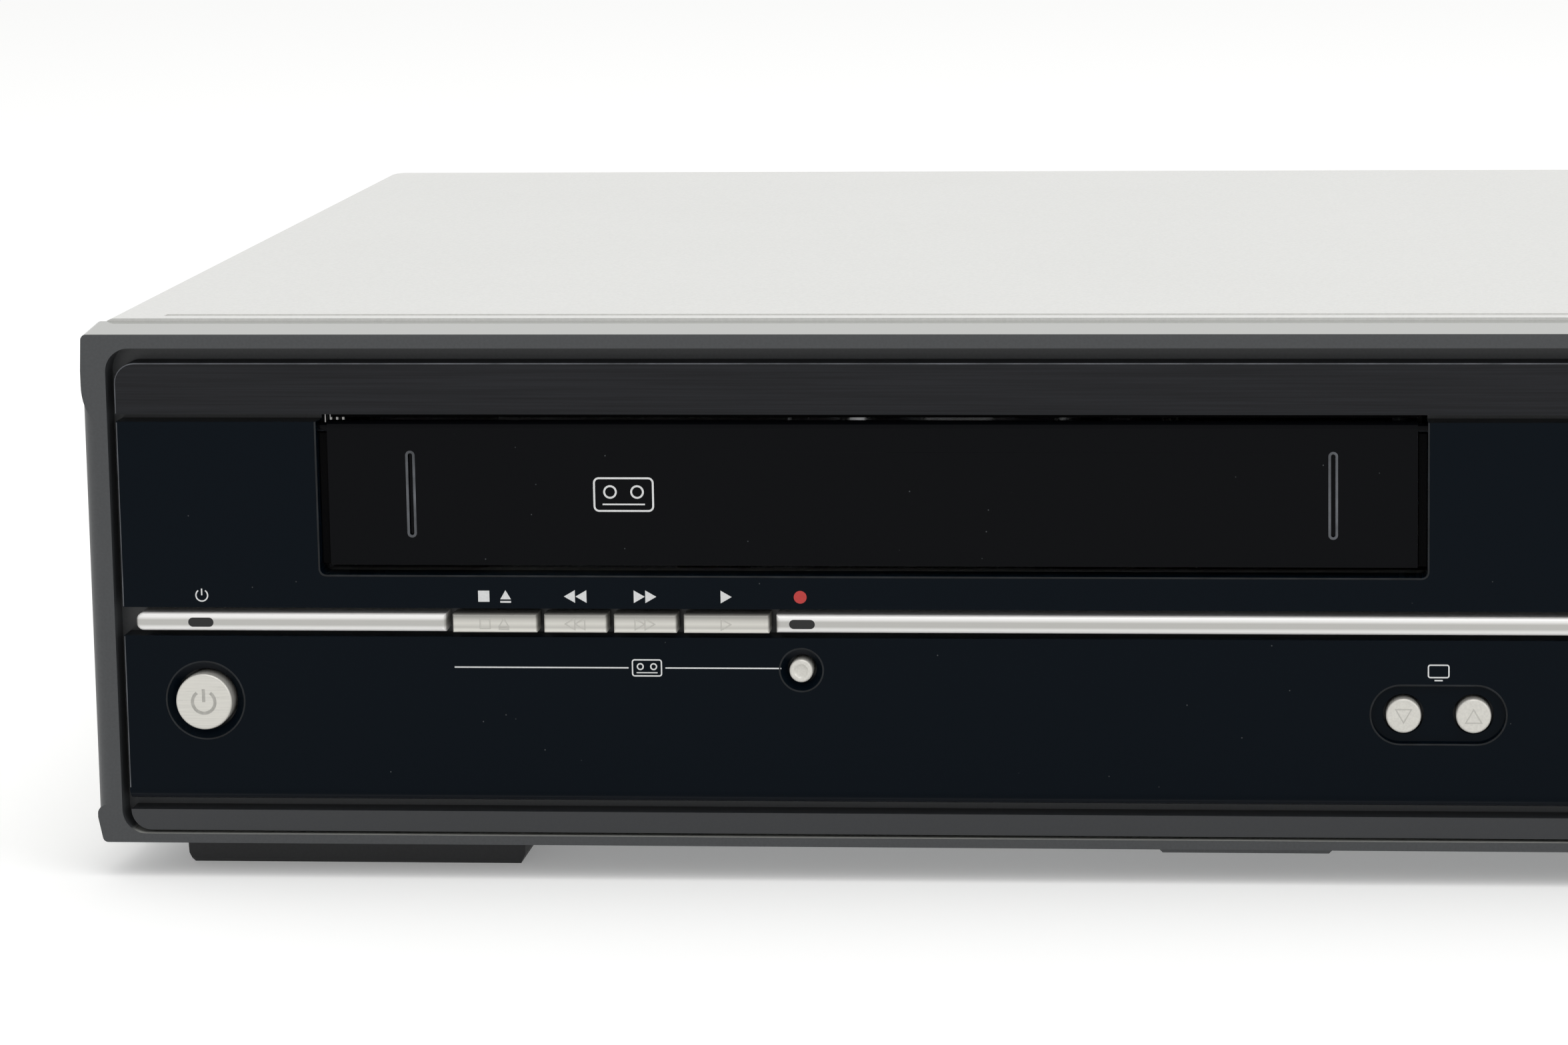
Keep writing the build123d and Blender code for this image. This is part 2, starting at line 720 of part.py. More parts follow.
def column_cut(side):
    """What is taken off the frame's outer front edge between its corner pieces."""
    edge = side * FRAME_WIDTH / 2
    inner = edge - side * COLUMN_CUT_WIDTH
    bottom = frame_bottom + COLUMN_CUT_BOTTOM
    top = frame_top - COLUMN_CUT_TOP
    outer = edge + side * PAST
    deep = face + COLUMN_CUT_DEPTH
    bulge_x, bulge_y = COLUMN_CUT_BULGE
    middle = (edge - side * COLUMN_CUT_WIDTH * bulge_x, face + COLUMN_CUT_DEPTH * bulge_y)
    with BuildSketch(Plane.XY.offset(bottom)) as profile:
        with BuildLine():
            Line((inner, face), (inner, face - PAST))
            Line((inner, face - PAST), (outer, face - PAST))
            Line((outer, face - PAST), (outer, deep))
            Line((outer, deep), (edge, deep))
            ThreePointArc((edge, deep), middle, (inner, face))
        make_face()
    cutter = extrude(profile.sketch, top - bottom, dir=(0, 0, 1))
    width = COLUMN_CUT_WIDTH + 2 * PAST
    outline = Pos(inner + side * width / 2, (top + bottom) / 2) * Rectangle(width, top - bottom)
    outline -= Pos(inner, top) * Ellipse(COLUMN_CUT_WIDTH, COLUMN_END_TOP)
    outline -= Pos(inner, bottom) * Ellipse(COLUMN_CUT_WIDTH, COLUMN_END_BOTTOM)
    return cutter & front_shape(outline, face - 2 * PAST, deep + PAST)


def corner_taper(side, start, rise, taper):
    """What is taken off a side of the frame, so that it leans in towards a corner."""
    across, along = taper
    edge = side * FRAME_WIDTH / 2
    wedge = Polygon((edge, start + rise * along), (edge - side * across, start),
                    (edge - side * across, start - rise * PAST), (edge + side * PAST, start - rise * PAST),
                    (edge + side * PAST, start + rise * along), align=None)
    return front_shape(wedge, face - PAST, frame_back + PAST)


def make_front_frame():
    """The surround, its web behind the panels and the tongue that slips under the cover."""
    half = FRAME_WIDTH / 2
    high = frame_top + FRAME_RISE
    body = block(-half, half, face, frame_back, frame_bottom, high)
    above = high + FRAME_SLOPE_ROOM
    slope = Polygon((face - PAST, frame_top), (face, frame_top), (frame_back, high), (frame_back, above),
                    (face - PAST, above), align=None)
    body -= Pos(-half - PAST, 0, 0) * extrude(Plane.YZ * slope, 2 * (half + PAST), dir=(1, 0, 0))
    body -= [corner_taper(side, frame_bottom, 1, FOOT_TAPER) for side in (-1, 1)]
    body -= [corner_taper(side, high, -1, HEAD_TAPER) for side in (-1, 1)]
    low_corners = [edge for edge in edges_at(body, "z", frame_bottom) if abs(edge.center().X) > half - PAST]
    high_corners = [edge for edge in body.edges() if edge.center().Z > frame_top and
                    abs(edge.center().X) > half - PAST and abs(edge.tangent_at(0).Y) > 1 / 2]
    body = fillet(low_corners + high_corners, FRAME_EDGE_ROUND)
    mouth_height = frame_inner_top - frame_inner_bottom
    mouth = Pos(0, (frame_inner_top + frame_inner_bottom) / 2) * RectangleRounded(
        2 * (half - FRAME_STILE), mouth_height, FRAME_MOUTH_ROUND)
    body -= front_shape(mouth, face - PAST, web_front)
    body -= front_shape(mouth, web_back, frame_back + PAST)
    reach = cover_inner - TONGUE_FIT
    tongue = block(-reach, reach, frame_back, frame_back + TONGUE_DEPTH, chassis_top, cover_roof - TONGUE_FIT)
    tongue -= block(-reach + TONGUE_WALL, reach - TONGUE_WALL, frame_back, frame_back + TONGUE_DEPTH,
                    chassis_top + TONGUE_WALL, cover_roof - TONGUE_FIT - TONGUE_WALL)
    tongue_top = [edge for edge in tongue.edges().filter_by(Axis.Y)
                  if abs(edge.center().X) > reach - TOUCH and edge.center().Z > cover_roof - PAST]
    body += fillet(tongue_top, COVER_EDGE)
    lug_left = LUG_CENTRE - LUG_WIDTH / 2
    lug_right = LUG_CENTRE + LUG_WIDTH / 2
    lug = block(lug_left, lug_right, face + LUG_SETBACK, frame_back - LUG_TAIL,
                frame_bottom - LUG_DROP, frame_bottom)
    under = lug.faces().sort_by(Axis.Z)[0]
    lug = chamfer(edges_at(under, "x", lug_left) + edges_at(under, "x", lug_right), LUG_SLOPE)
    body += lug
    cuts = [column_cut(-1), column_cut(1)]
    cuts.append(block(slot_left, slot_right, web_front - PAST, web_back + PAST, slot_bottom, slot_top))
    gap = TRAY_FRONT_GAP
    cuts.append(block(disc_x - TRAY_FRONT_WIDTH / 2 - gap, disc_x + TRAY_FRONT_WIDTH / 2 + gap,
                      web_front - PAST, web_back + PAST, tray_front_bottom - gap, tray_top_edge + gap))
    window_half = WINDOW_SIZE[0] / 2 - WINDOW_LEDGE
    cuts.append(block(disc_x - window_half, disc_x + window_half, web_front - PAST, web_back + PAST,
                      window_z - WINDOW_SIZE[1] / 2 + WINDOW_LEDGE / 2,
                      window_z + WINDOW_SIZE[1] / 2 - WINDOW_LEDGE / 2))
    cuts.append(block(front_jack_xs[0] - FRONT_JACK_HALF - SOCKET_FIT,
                      front_jack_xs[-1] + FRONT_JACK_HALF + SOCKET_FIT, web_front - PAST, web_back + PAST,
                      jack_z - FRONT_JACK_HALF - SOCKET_FIT, jack_z + FRONT_JACK_HALF + SOCKET_FIT))
    for x, z in stem_places():
        cuts.append(inward(x, web_front - PAST, z, STEM_RADIUS + STEM_CLEARANCE,
                           WEB_THICKNESS + 2 * PAST))
    return body - cuts


def cover_body(inset):
    """The cover's outer form, drawn in by a distance on its closed sides."""
    half = cover_width / 2 - inset
    back = cover_back - inset
    top = cover_top - inset
    low = chassis_bottom
    front = cover_front
    plan = Pos(0, (front + back) / 2) * Rectangle(2 * half, back - front)
    plan = fillet(plan.vertices().group_by(Axis.Y)[-1], COVER_CORNER - inset)
    body = Pos(0, 0, low) * extrude(plan, top - low)
    rim = [edge for edge in edges_at(body, "z", top) if edge.center().Y > front + TOUCH]
    return fillet(rim, COVER_EDGE - inset)


def make_top_cover():
    """Sheet steel cover: top, two sides and a narrow lip at the back."""
    shell = cover_body(0) - cover_body(SHEET)
    inner = cover_inner
    cuts = [block(-inner, inner, cover_back - SHEET - COVER_CORNER, cover_back + PAST,
                  chassis_bottom - PAST, cover_top - COVER_LIP)]
    groove_front = cover_front + HEM_SETBACK
    cuts.append(block(-hem_length / 2, hem_length / 2, groove_front, groove_front + HEM_WIDTH,
                      cover_top - HEM_DEPTH, cover_top + PAST))
    vent_start = cover_back - VENT_TAIL - VENT_COUNT * VENT_PITCH
    vent_low = chassis_top + VENT_RISE
    reach = 2 * PAST
    for side in (-1, 1):
        for i in range(VENT_COUNT):
            y = vent_start + i * VENT_PITCH
            cuts.append(block(side * inner - reach, side * inner + reach, y, y + VENT_WIDTH, vent_low,
                              vent_low + VENT_LENGTH))
        for y in side_screw_ys:
            cuts.append(across(side * inner - reach, y, chassis_top + SCREW_RISE, SCREW_SHANK + SCREW_FIT,
                               2 * reach))
    for x in rear_screw_xs:
        cuts.append(inward(x, cover_back - reach, cover_top - COVER_LIP / 2, SCREW_SHANK + SCREW_FIT,
                           2 * reach))
    return shell - cuts


def deck_post_places():
    """Where the tape deck stands on the chassis."""
    left = door_centre - deck_half + DECK_POST_INSET
    right = door_centre + deck_half - DECK_POST_INSET
    front = deck_front + DECK_POST_INSET
    back = deck_back - DECK_POST_INSET
    return [(left, front), (right, front), (left, back), (right, back)]


def drive_post_places():
    """Where the disc drive stands on the chassis."""
    left = drive_left + DRIVE_POST_INSET
    right = drive_right - DRIVE_POST_INSET
    front = drive_front + DRIVE_POST_INSET
    back = drive_back - DRIVE_POST_INSET
    return [(left, front), (right, front), (left, back), (right, back)]


def board_boss_places(left, right, length):
    """The four corners of a board, drawn in to its bosses."""
    xs = (left + BOARD_INSET, right - BOARD_INSET)
    ys = (board_back - length + BOARD_INSET, board_back - BOARD_INSET)
    return [(x, y) for x in xs for y in ys]


def make_chassis():
    """Sheet steel floor with side flanges and raised bosses."""
    half = cover_inner - CHASSIS_FIT
    front = frame_back + CHASSIS_FIT
    flange_front = frame_back + TONGUE_DEPTH + FLANGE_GAP
    body = block(-half, half, front, panel_back, chassis_bottom, chassis_top)
    for side in (-1, 1):
        outer = side * half
        inner = outer - side * CHASSIS_PLATE
        body += block(min(outer, inner), max(outer, inner), flange_front, panel_front,
                      chassis_top, chassis_top + CHASSIS_FLANGE)
    bosses = []
    for x, y in deck_post_places():
        bosses.append(upright(x, y, chassis_top, DECK_POST_RADIUS, deck_bottom - chassis_top))
    for x, y in drive_post_places():
        bosses.append(upright(x, y, chassis_top, DRIVE_POST_RADIUS, drive_bottom - chassis_top))
    for left, right, length in ((main_left, main_right, MAIN_BOARD_LENGTH),
                                (power_left, power_right, POWER_BOARD_LENGTH)):
        for x, y in board_boss_places(left, right, length):
            bosses.append(upright(x, y, chassis_top, BOSS_RADIUS, BOARD_LIFT))
    foot_half = CONTROL_FOOT_WIDTH / 2
    for x in (CONTROL_FOOT_INSETS[0] - control_half, 0, control_half - CONTROL_FOOT_INSETS[1]):
        bosses.append(block(x - foot_half, x + foot_half, control_back, control_back + CONTROL_FOOT,
                            chassis_top, CONTROL_BOTTOM + CONTROL_FOOT_RISE))
    body += bosses
    cuts = []
    for side in (-1, 1):
        for y in side_screw_ys:
            cuts.append(across(side * half - 2 * PAST, y, chassis_top + SCREW_RISE,
                               SCREW_SHANK + SCREW_FIT, 4 * PAST))
    vent_y = panel_front - FLOOR_VENT_SETBACK
    vent_start = (power_left + power_right - VENT_COUNT * FLOOR_VENT_PITCH) / 2
    for i in range(VENT_COUNT):
        x = vent_start + i * FLOOR_VENT_PITCH
        cuts.append(block(x, x + VENT_WIDTH, vent_y, vent_y + VENT_LENGTH,
                          chassis_bottom - PAST, chassis_top + PAST))
    return body - cuts


def phono_places():
    """The x and z of each phono socket at the back."""
    places = []
    for row in range(PHONO_ROWS):
        for column in range(PHONO_COLUMNS):
            x = phono_x + (column - (PHONO_COLUMNS - 1) / 2) * PHONO_PITCH
            z = PHONO_Z + (row - (PHONO_ROWS - 1) / 2) * PHONO_PITCH
            places.append((x, z))
    return places


def make_rear_panel():
    """Steel back plate with its cut-outs and the fan's grille."""
    half = cover_inner - PANEL_FIT
    body = block(-half, half, panel_front, panel_back, chassis_top, cover_roof - CHASSIS_FIT)
    corners = [edge for edge in body.edges().filter_by(Axis.Y) if edge.center().Z > cover_roof - PAST]
    body = fillet(corners, COVER_EDGE)
    y0 = panel_front - PAST
    y1 = panel_back + PAST
    through = PANEL_PLATE + 2 * PAST
    cuts = []
    for level in range(2):
        low = board_top + level * SCART_PITCH
        cuts.append(block(scart_x - SCART_WIDTH / 2 - SOCKET_FIT, scart_x + SCART_WIDTH / 2 + SOCKET_FIT,
                          y0, y1, low - SOCKET_FIT, low + SCART_HEIGHT + SOCKET_FIT))
    for x, z in phono_places():
        cuts.append(inward(x, y0, z, PHONO_RADIUS + PHONO_PANEL_FIT, through))
    for z in AERIAL_Z:
        cuts.append(inward(aerial_x, y0, z, AERIAL_RADIUS + AERIAL_PANEL_FIT, through))
    wide, high, deep = INLET_SIZE
    cuts.append(block(inlet_x - wide / 2 - SOCKET_FIT, inlet_x + wide / 2 + SOCKET_FIT, y0, y1,
                      INLET_Z - high / 2 - SOCKET_FIT, INLET_Z + high / 2 + SOCKET_FIT))
    wide, high, deep = HDMI_SIZE
    cuts.append(block(hdmi_x - wide / 2 - SOCKET_FIT, hdmi_x + wide / 2 + SOCKET_FIT, y0, y1,
                      board_top - SOCKET_FIT, board_top + high + SOCKET_FIT))
    for ring in range(1, GRILLE_RINGS + 1):
        radius = ring * FAN_BORE / GRILLE_SPREAD
        count = GRILLE_HOLES * ring
        for i in range(count):
            turn = 2 * math.pi * i / count
            cuts.append(inward(fan_x + radius * math.cos(turn), y0, FAN_Z + radius * math.sin(turn),
                               GRILLE_HOLE, through))
    for x in rear_screw_xs:
        cuts.append(inward(x, y0, cover_top - COVER_LIP / 2, SCREW_SHANK + SCREW_FIT, through))
    return body - cuts


def make_screws():
    """All cover screws: two on each side and three along the back lip."""
    screws = []
    height = chassis_top + SCREW_RISE
    outer = cover_width / 2
    for y in side_screw_ys:
        screws.append(across(-outer - SCREW_HEAD_HEIGHT, y, height, SCREW_HEAD, SCREW_HEAD_HEIGHT)
                      + across(-outer, y, height, SCREW_SHANK, SCREW_LENGTH))
        screws.append(across(outer, y, height, SCREW_HEAD, SCREW_HEAD_HEIGHT)
                      + across(outer - SCREW_LENGTH, y, height, SCREW_SHANK, SCREW_LENGTH))
    for x in rear_screw_xs:
        z = cover_top - COVER_LIP / 2
        screws.append(inward(x, cover_back, z, SCREW_HEAD, SCREW_HEAD_HEIGHT)
                      + inward(x, cover_back - SCREW_LENGTH, z, SCREW_SHANK, SCREW_LENGTH))
    return group(screws)


def make_front_foot(side):
    """A long low foot with sloped ends under the front corner."""
    centre = side * front_foot_x
    half = FRONT_FOOT_LENGTH / 2
    outline = Polygon((centre - half, chassis_bottom), (centre + half, chassis_bottom),
                      (centre + half - FRONT_FOOT_DRAFT, FRONT_FOOT_CHAMFER),
                      (centre + half - FRONT_FOOT_SLOPE, 0), (centre - half + FRONT_FOOT_SLOPE, 0),
                      (centre - half + FRONT_FOOT_DRAFT, FRONT_FOOT_CHAMFER), align=None)
    y0 = frame_back + CHASSIS_FIT
    foot = front_shape(outline, y0, y0 + FRONT_FOOT_DEPTH)
    lower_front = [edge for edge in edges_at(foot, "z", 0) if abs(edge.center().Y - y0) < TOUCH]
    return chamfer(lower_front, FRONT_FOOT_EDGE)


def make_rear_feet():
    """Two round pads under the back corners."""
    feet = []
    for side in (-1, 1):
        foot = upright(side * rear_foot_x, panel_front - REAR_FOOT_INSET, 0, REAR_FOOT_RADIUS,
                       chassis_bottom)
        feet.append(chamfer(foot.edges().group_by(Axis.Z)[0], REAR_FOOT_EDGE))
    return group(feet)


# Front panels

def dish(x, z, outer, inner):
    """A shallow round dish in the lower fascia, with the hole at its middle."""
    front = face + PANEL_SETBACK
    cone = Pos(x, front + DISH_DEPTH / 2, z) * Rot(90, 0, 0) * Cone(inner, outer, DISH_DEPTH)
    return [cone, inward(x, front - PAST, z, inner, WEB_SETBACK + 2 * PAST)]


def make_brow():
    """The matte band along the top of the front."""
    band = block_outline(face, web_front)
    return band & block(-block_half - PAST, block_half + PAST, face - PAST, web_front + PAST,
                        brow_bottom, brow_top + PAST)


def make_upper_fascia():
    """The gloss panel round the cassette door and the disc tray."""
    front = face + PANEL_SETBACK
    body = block(-block_half, block_half, front, web_front, upper_bottom, upper_top)
    slot = block(slot_left, slot_right, front - PAST, web_front + PAST, slot_bottom, upper_top + PAST)
    cuts = [fillet(edges_at(slot, "z", slot_bottom, Axis.Y), SLOT_ROUND)]
    gap = TRAY_FRONT_GAP
    cuts.append(block(disc_x - TRAY_FRONT_WIDTH / 2 - gap, disc_x + TRAY_FRONT_WIDTH / 2 + gap,
                      front - PAST, web_front + PAST, tray_front_bottom - gap, tray_top_edge + gap))
    wide, high, deep = WINDOW_SIZE
    cuts.append(block(disc_x - wide / 2, disc_x + wide / 2, front - PAST, front + deep,
                      window_z - high / 2, window_z + high / 2))
    cuts.append(block(disc_x - wide / 2 + WINDOW_LEDGE, disc_x + wide / 2 - WINDOW_LEDGE,
                      front - PAST, web_front + PAST, window_z - high / 2 + WINDOW_LEDGE / 2,
                      window_z + high / 2 - WINDOW_LEDGE / 2))
    bearing = DOOR_PIN_LENGTH - DOOR_SIDE_GAP + DOOR_BEARING_DEPTH
    hole = DOOR_PIN_RADIUS + PIN_FIT
    cuts.append(across(slot_left - bearing, hinge_y, hinge_z, hole, bearing + PAST))
    cuts.append(across(slot_right - PAST, hinge_y, hinge_z, hole, bearing + PAST))
    return body - cuts


def make_lower_fascia():
    """The gloss panel with the round buttons, its lower edge rolled under."""
    front = face + PANEL_SETBACK
    body = block(-block_half, block_half, front, web_front, lower_bottom, lower_top)
    roll = [edge for edge in edges_at(body, "z", lower_bottom) if abs(edge.center().Y - front) < TOUCH]
    body = fillet(roll, ROLL_RADIUS)
    cuts = dish(power_x, power_z, POWER_DISH, POWER_RADIUS + BUTTON_CLEARANCE)
    for side in (-1, 1):
        cuts += dish(side * record_x, record_z, RECORD_DISH, RECORD_RADIUS + BUTTON_CLEARANCE)
    long, high, deep = CHANNEL_RECESS
    stadium = Pos(channel_x, channel_z) * SlotOverall(long, high)
    cuts.append(front_shape(stadium, front - PAST, front + deep))
    for x in channel_xs:
        cuts.append(inward(x, front, channel_z, CHANNEL_RADIUS + BUTTON_CLEARANCE, WEB_SETBACK + PAST))
    for x in front_jack_xs:
        cuts.append(inward(x, front - PAST, jack_z, PHONO_RADIUS + FRONT_JACK_RING,
                           WEB_SETBACK + 2 * PAST))
    return body - cuts


def make_bottom_trim():
    """The grey strip at the foot of the panel block."""
    band = block_outline(face + TRIM_SETBACK, web_front)
    return band & block(-block_half - PAST, block_half + PAST, face - PAST, web_front + PAST,
                        trim_bottom - PAST, trim_top)


def lens_places():
    """The x of each indicator lens, in the left, centre and right bars."""
    outer = bar_end - LENS_INSETS[0]
    inner = keys_inner_end - KEY_GAP - LENS_INSETS[1]
    return (-outer, -inner, inner)


def make_bar(x0, x1):
    """One silver bar with its indicator holes."""
    half = BAR_HEIGHT / 2
    bar = block(x0, x1, face - BAR_PROUD, web_front, bar_centre - half, bar_centre + half)
    for end in (x0, x1):
        if abs(end) > key_start + KEY_GAP + TOUCH:
            bar = fillet(edges_at(bar, "x", end, Axis.Y), BAR_END_ROUND)
    bar = fillet(edges_at(bar, "y", face - BAR_PROUD), BAR_ROUND)
    for x in lens_places():
        if x0 < x < x1:
            hole = Pos(x, bar_centre) * SlotOverall(LENS_LENGTH, LENS_HEIGHT)
            bar -= front_shape(hole, face - BAR_PROUD - PAST, web_front + PAST)
    return bar


def make_lenses():
    """The clear windows over the indicator lamps."""
    lenses = []
    for x in lens_places():
        outline = Pos(x, bar_centre) * SlotOverall(LENS_LENGTH - LENS_FIT, LENS_HEIGHT - LENS_FIT)
        lenses.append(front_shape(outline, face - BAR_PROUD + LENS_SETBACK, web_front))
    return group(lenses)


def make_key(x0, x1):
    """One bar key with its stem."""
    half = KEY_HEIGHT / 2
    back = face + KEY_BACK
    cap = block(x0, x1, face - KEY_PROUD, back, bar_centre - half, bar_centre + half)
    cap = fillet(edges_at(cap, "y", face - KEY_PROUD), KEY_ROUND)
    return cap + inward((x0 + x1) / 2, back, bar_centre, STEM_RADIUS, stem_end - back)


def make_round_button(x, z, radius, proud):
    """One round button with its stem, and a hollow for the fingertip in the smallest ones."""
    back = face + KEY_BACK
    cap = inward(x, face - proud, z, radius, back - face + proud)
    cap = fillet(edges_at(cap, "y", face - proud), BUTTON_ROUND)
    if radius == RECORD_RADIUS:
        ball = (RECORD_HOLLOW ** 2 + RECORD_HOLLOW_DEPTH ** 2) / (2 * RECORD_HOLLOW_DEPTH)
        cap -= Pos(x, face - proud + RECORD_HOLLOW_DEPTH - ball, z) * Sphere(ball)
    return cap + inward(x, back, z, STEM_RADIUS, stem_end - back)


def make_door():
    """The cassette door: a flat flap with a round upper edge, two grooves and its hinge pins."""
    front = face + DOOR_SETBACK
    back = front + DOOR_THICKNESS
    body = block(door_left, door_right, front, back, door_bottom, door_top)
    body = fillet(edges_at(body.faces().sort_by(Axis.Z)[-1], "y", front)
                  + edges_at(body.faces().sort_by(Axis.Z)[-1], "y", back), DOOR_THICKNESS / 2 - TOUCH)
    wide, tall, deep = DOOR_GROOVE
    middle = (door_bottom + door_top) / 2 - DOOR_GROOVE_DROP
    for x in (door_left + DOOR_GROOVE_INSET, door_right - DOOR_GROOVE_INSET):
        groove = Pos(x, middle) * Rot(0, 0, 90) * SlotOverall(tall, wide)
        body -= front_shape(groove, front - PAST, front + deep)
    pin = DOOR_PIN_LENGTH + PAST
    body += across(door_left - DOOR_PIN_LENGTH, hinge_y, hinge_z, DOOR_PIN_RADIUS, pin)
    body += across(door_right - PAST, hinge_y, hinge_z, DOOR_PIN_RADIUS, pin)
    return body


def make_window():
    """The smoked window over the display."""
    wide, high, deep = WINDOW_SIZE
    front = face + PANEL_SETBACK
    fit = LENS_FIT
    return block(disc_x - wide / 2 + fit, disc_x + wide / 2 - fit, front, front + deep,
                 window_z - high / 2 + fit, window_z + high / 2 - fit)


def make_control_board():
    """The long board behind the front, with its switches and the display soldered to it."""
    body = block(-control_half, control_half, control_front, control_back, CONTROL_BOTTOM, control_top)
    display_half = WINDOW_SIZE[0] / 2 - DISPLAY_INSET
    flange = display_half + DISPLAY_FLANGE
    raised = window_z + WINDOW_SIZE[1] / 2
    body += block(disc_x - flange, disc_x + flange, control_front, control_back, control_top, raised)
    body += block(disc_x - display_half, disc_x + display_half, control_front - DISPLAY_DEPTH,
                  control_front, window_z - DISPLAY_HEIGHT / 2, window_z + DISPLAY_HEIGHT / 2)
    for x, z in stem_places():
        body += block(x - SWITCH_SIZE / 2, x + SWITCH_SIZE / 2, control_front - SWITCH_HEIGHT,
                      control_front, z - SWITCH_SIZE / 2, z + SWITCH_SIZE / 2)
    return body


def make_front_sockets():
    """The row of input sockets in the lower fascia."""
    front = web_front
    back = front + FRONT_JACK_DEPTH
    body = block(front_jack_xs[0] - FRONT_JACK_HALF, front_jack_xs[-1] + FRONT_JACK_HALF, front, back,
                 jack_z - FRONT_JACK_HALF, jack_z + FRONT_JACK_HALF)
    for x in front_jack_xs:
        body += inward(x, face + FRONT_JACK_SETBACK, jack_z, PHONO_RADIUS, WEB_SETBACK - FRONT_JACK_SETBACK)
    for x in front_jack_xs:
        body -= inward(x, face - PAST, jack_z, PHONO_BORE, WEB_SETBACK + PHONO_BORE_DEPTH)
    return body


# Disc drive

def rack_outline():
    """The rack's teeth and back, seen from above."""
    pitch = math.pi * GEAR_MODULE
    root = rack_pitch_x - TOOTH_ROOT * GEAR_MODULE
    tip = rack_pitch_x + TOOTH_TIP * GEAR_MODULE
    wide = TOOTH_ROOT_SHARE * GEAR_TOOTH
    narrow = TOOTH_TIP_SHARE * GEAR_TOOTH
    first = tray_start + RACK_START
    last = tray_end
    points = [(root - RACK_BACK, first), (root, first)]
    start = math.ceil((first - gear_y) / pitch) + 0.5
    centre = gear_y + start * pitch
    while centre < last - pitch / 2:
        points.append((root, centre - wide))
        points.append((tip, centre - narrow))
        points.append((tip, centre + narrow))
        points.append((root, centre + wide))
        centre += pitch
    points += [(root, last), (root - RACK_BACK, last)]
    return Polygon(*points, align=None)


def gear_outline():
    """The tray gear's teeth, seen from above, one tooth pointing along -X."""
    points = []
    root = gear_radius - TOOTH_ROOT * GEAR_MODULE
    tip = gear_radius + TOOTH_TIP * GEAR_MODULE
    wide = TOOTH_ROOT_SHARE * GEAR_TOOTH
    narrow = TOOTH_TIP_SHARE * GEAR_TOOTH
    for i in range(GEAR_TEETH):
        turn = 2 * math.pi * i / GEAR_TEETH
        for radius, offset in ((root, -wide), (tip, -narrow), (tip, narrow), (root, wide)):
            angle = turn + offset / radius
            points.append((radius * math.cos(angle), radius * math.sin(angle)))
    return Polygon(*points, align=None)


def make_tray():
    """The sliding tray with its disc recesses, slot and rack."""
    body = block(tray_left, tray_right, tray_start, tray_end, tray_bottom, tray_top)
    rear_corners = [edge for edge in body.edges().filter_by(Axis.Z) if edge.center().Y > tray_end - PAST]
    body = fillet(rear_corners, TRAY_CORNER)
    tall = TRAY_THICKNESS + 2 * PAST
    cuts = [upright(disc_x, disc_y, tray_floor, DISC_RECESS, tall),
            upright(disc_x, disc_y, tray_floor - SMALL_DEPTH, SMALL_RECESS, tall),
            upright(disc_x, disc_y, tray_bottom - PAST, TRAY_SLOT / 2, tall),
            block(disc_x - TRAY_SLOT / 2, disc_x + TRAY_SLOT / 2, disc_y, tray_end + PAST,
                  tray_bottom - PAST, tray_top + PAST)]
    body -= cuts
    rack = Pos(0, 0, tray_bottom - RACK_HEIGHT) * extrude(rack_outline(), RACK_HEIGHT, dir=(0, 0, 1))
    return body + rack


def make_tray_front():
    """The tray's gloss front."""
    front = block(disc_x - TRAY_FRONT_WIDTH / 2, disc_x + TRAY_FRONT_WIDTH / 2, tray_face, tray_start,
                  tray_front_bottom, tray_top_edge)
    return fillet(edges_at(front, "y", tray_face), TRAY_FRONT_ROUND)


def make_tray_gear():
    """The pinion that drives the rack."""
    gear = Pos(gear_x, gear_y, gear_bottom) * extrude(gear_outline(), GEAR_HEIGHT, dir=(0, 0, 1))
    return gear - upright(gear_x, gear_y, gear_bottom - PAST, POST_RADIUS + ROD_FIT, GEAR_HEIGHT + 2 * PAST)


def make_drive_base():
    """The drive's open box with tray rails, the gear's post and the traverse's pivot lugs."""
    wall = DRIVE_WALL
    body = block(drive_left, drive_right, drive_front, drive_back, drive_bottom, drive_top)
    body -= block(drive_left + wall, drive_right - wall, drive_front + wall, drive_back - wall,
                  drive_floor, drive_top + PAST)
    body -= block(drive_left + wall, drive_right - wall, drive_front - PAST, drive_front + wall + PAST,
                  tray_bottom - DRIVE_LIP, drive_top + PAST)
    rail_top = tray_bottom - RAIL_GAP
    for x0 in (drive_left + wall, drive_right - wall - RAIL_WIDTH):
        body += block(x0, x0 + RAIL_WIDTH, drive_front + wall, drive_back - wall,
                      rail_top - RAIL_HEIGHT, rail_top)
    body += upright(gear_x, gear_y, drive_floor, POST_RADIUS + POST_COLLAR,
                    gear_bottom - GEAR_SEAT - drive_floor)
    body += upright(gear_x, gear_y, drive_floor, POST_RADIUS, gear_bottom + GEAR_HEIGHT - drive_floor)
    for side in (-1, 1):
        near = disc_x + side * (TRAVERSE_HALF + LUG_GAP)
        far = near + side * LUG_THICKNESS
        body += block(min(near, far), max(near, far), pivot_y - LUG_ROUND, pivot_y + LUG_ROUND,
                      drive_floor, pivot_z + LUG_ROUND)
        body -= across(min(near, far) - PAST, pivot_y, pivot_z, PIVOT_RADIUS + PIN_FIT,
                       LUG_THICKNESS + 2 * PAST)
    return body


def make_bridge():
    """The steel strip across the drive that carries the clamp."""
    half = BRIDGE_DEPTH / 2
    strip = block(drive_left, drive_right, disc_y - half, disc_y + half, drive_top, drive_top + BRIDGE_PLATE)
    hole = upright(disc_x, disc_y, drive_top - PAST, CLAMP_NECK + CLAMP_GAP, BRIDGE_PLATE + 2 * PAST)
    return strip - hole


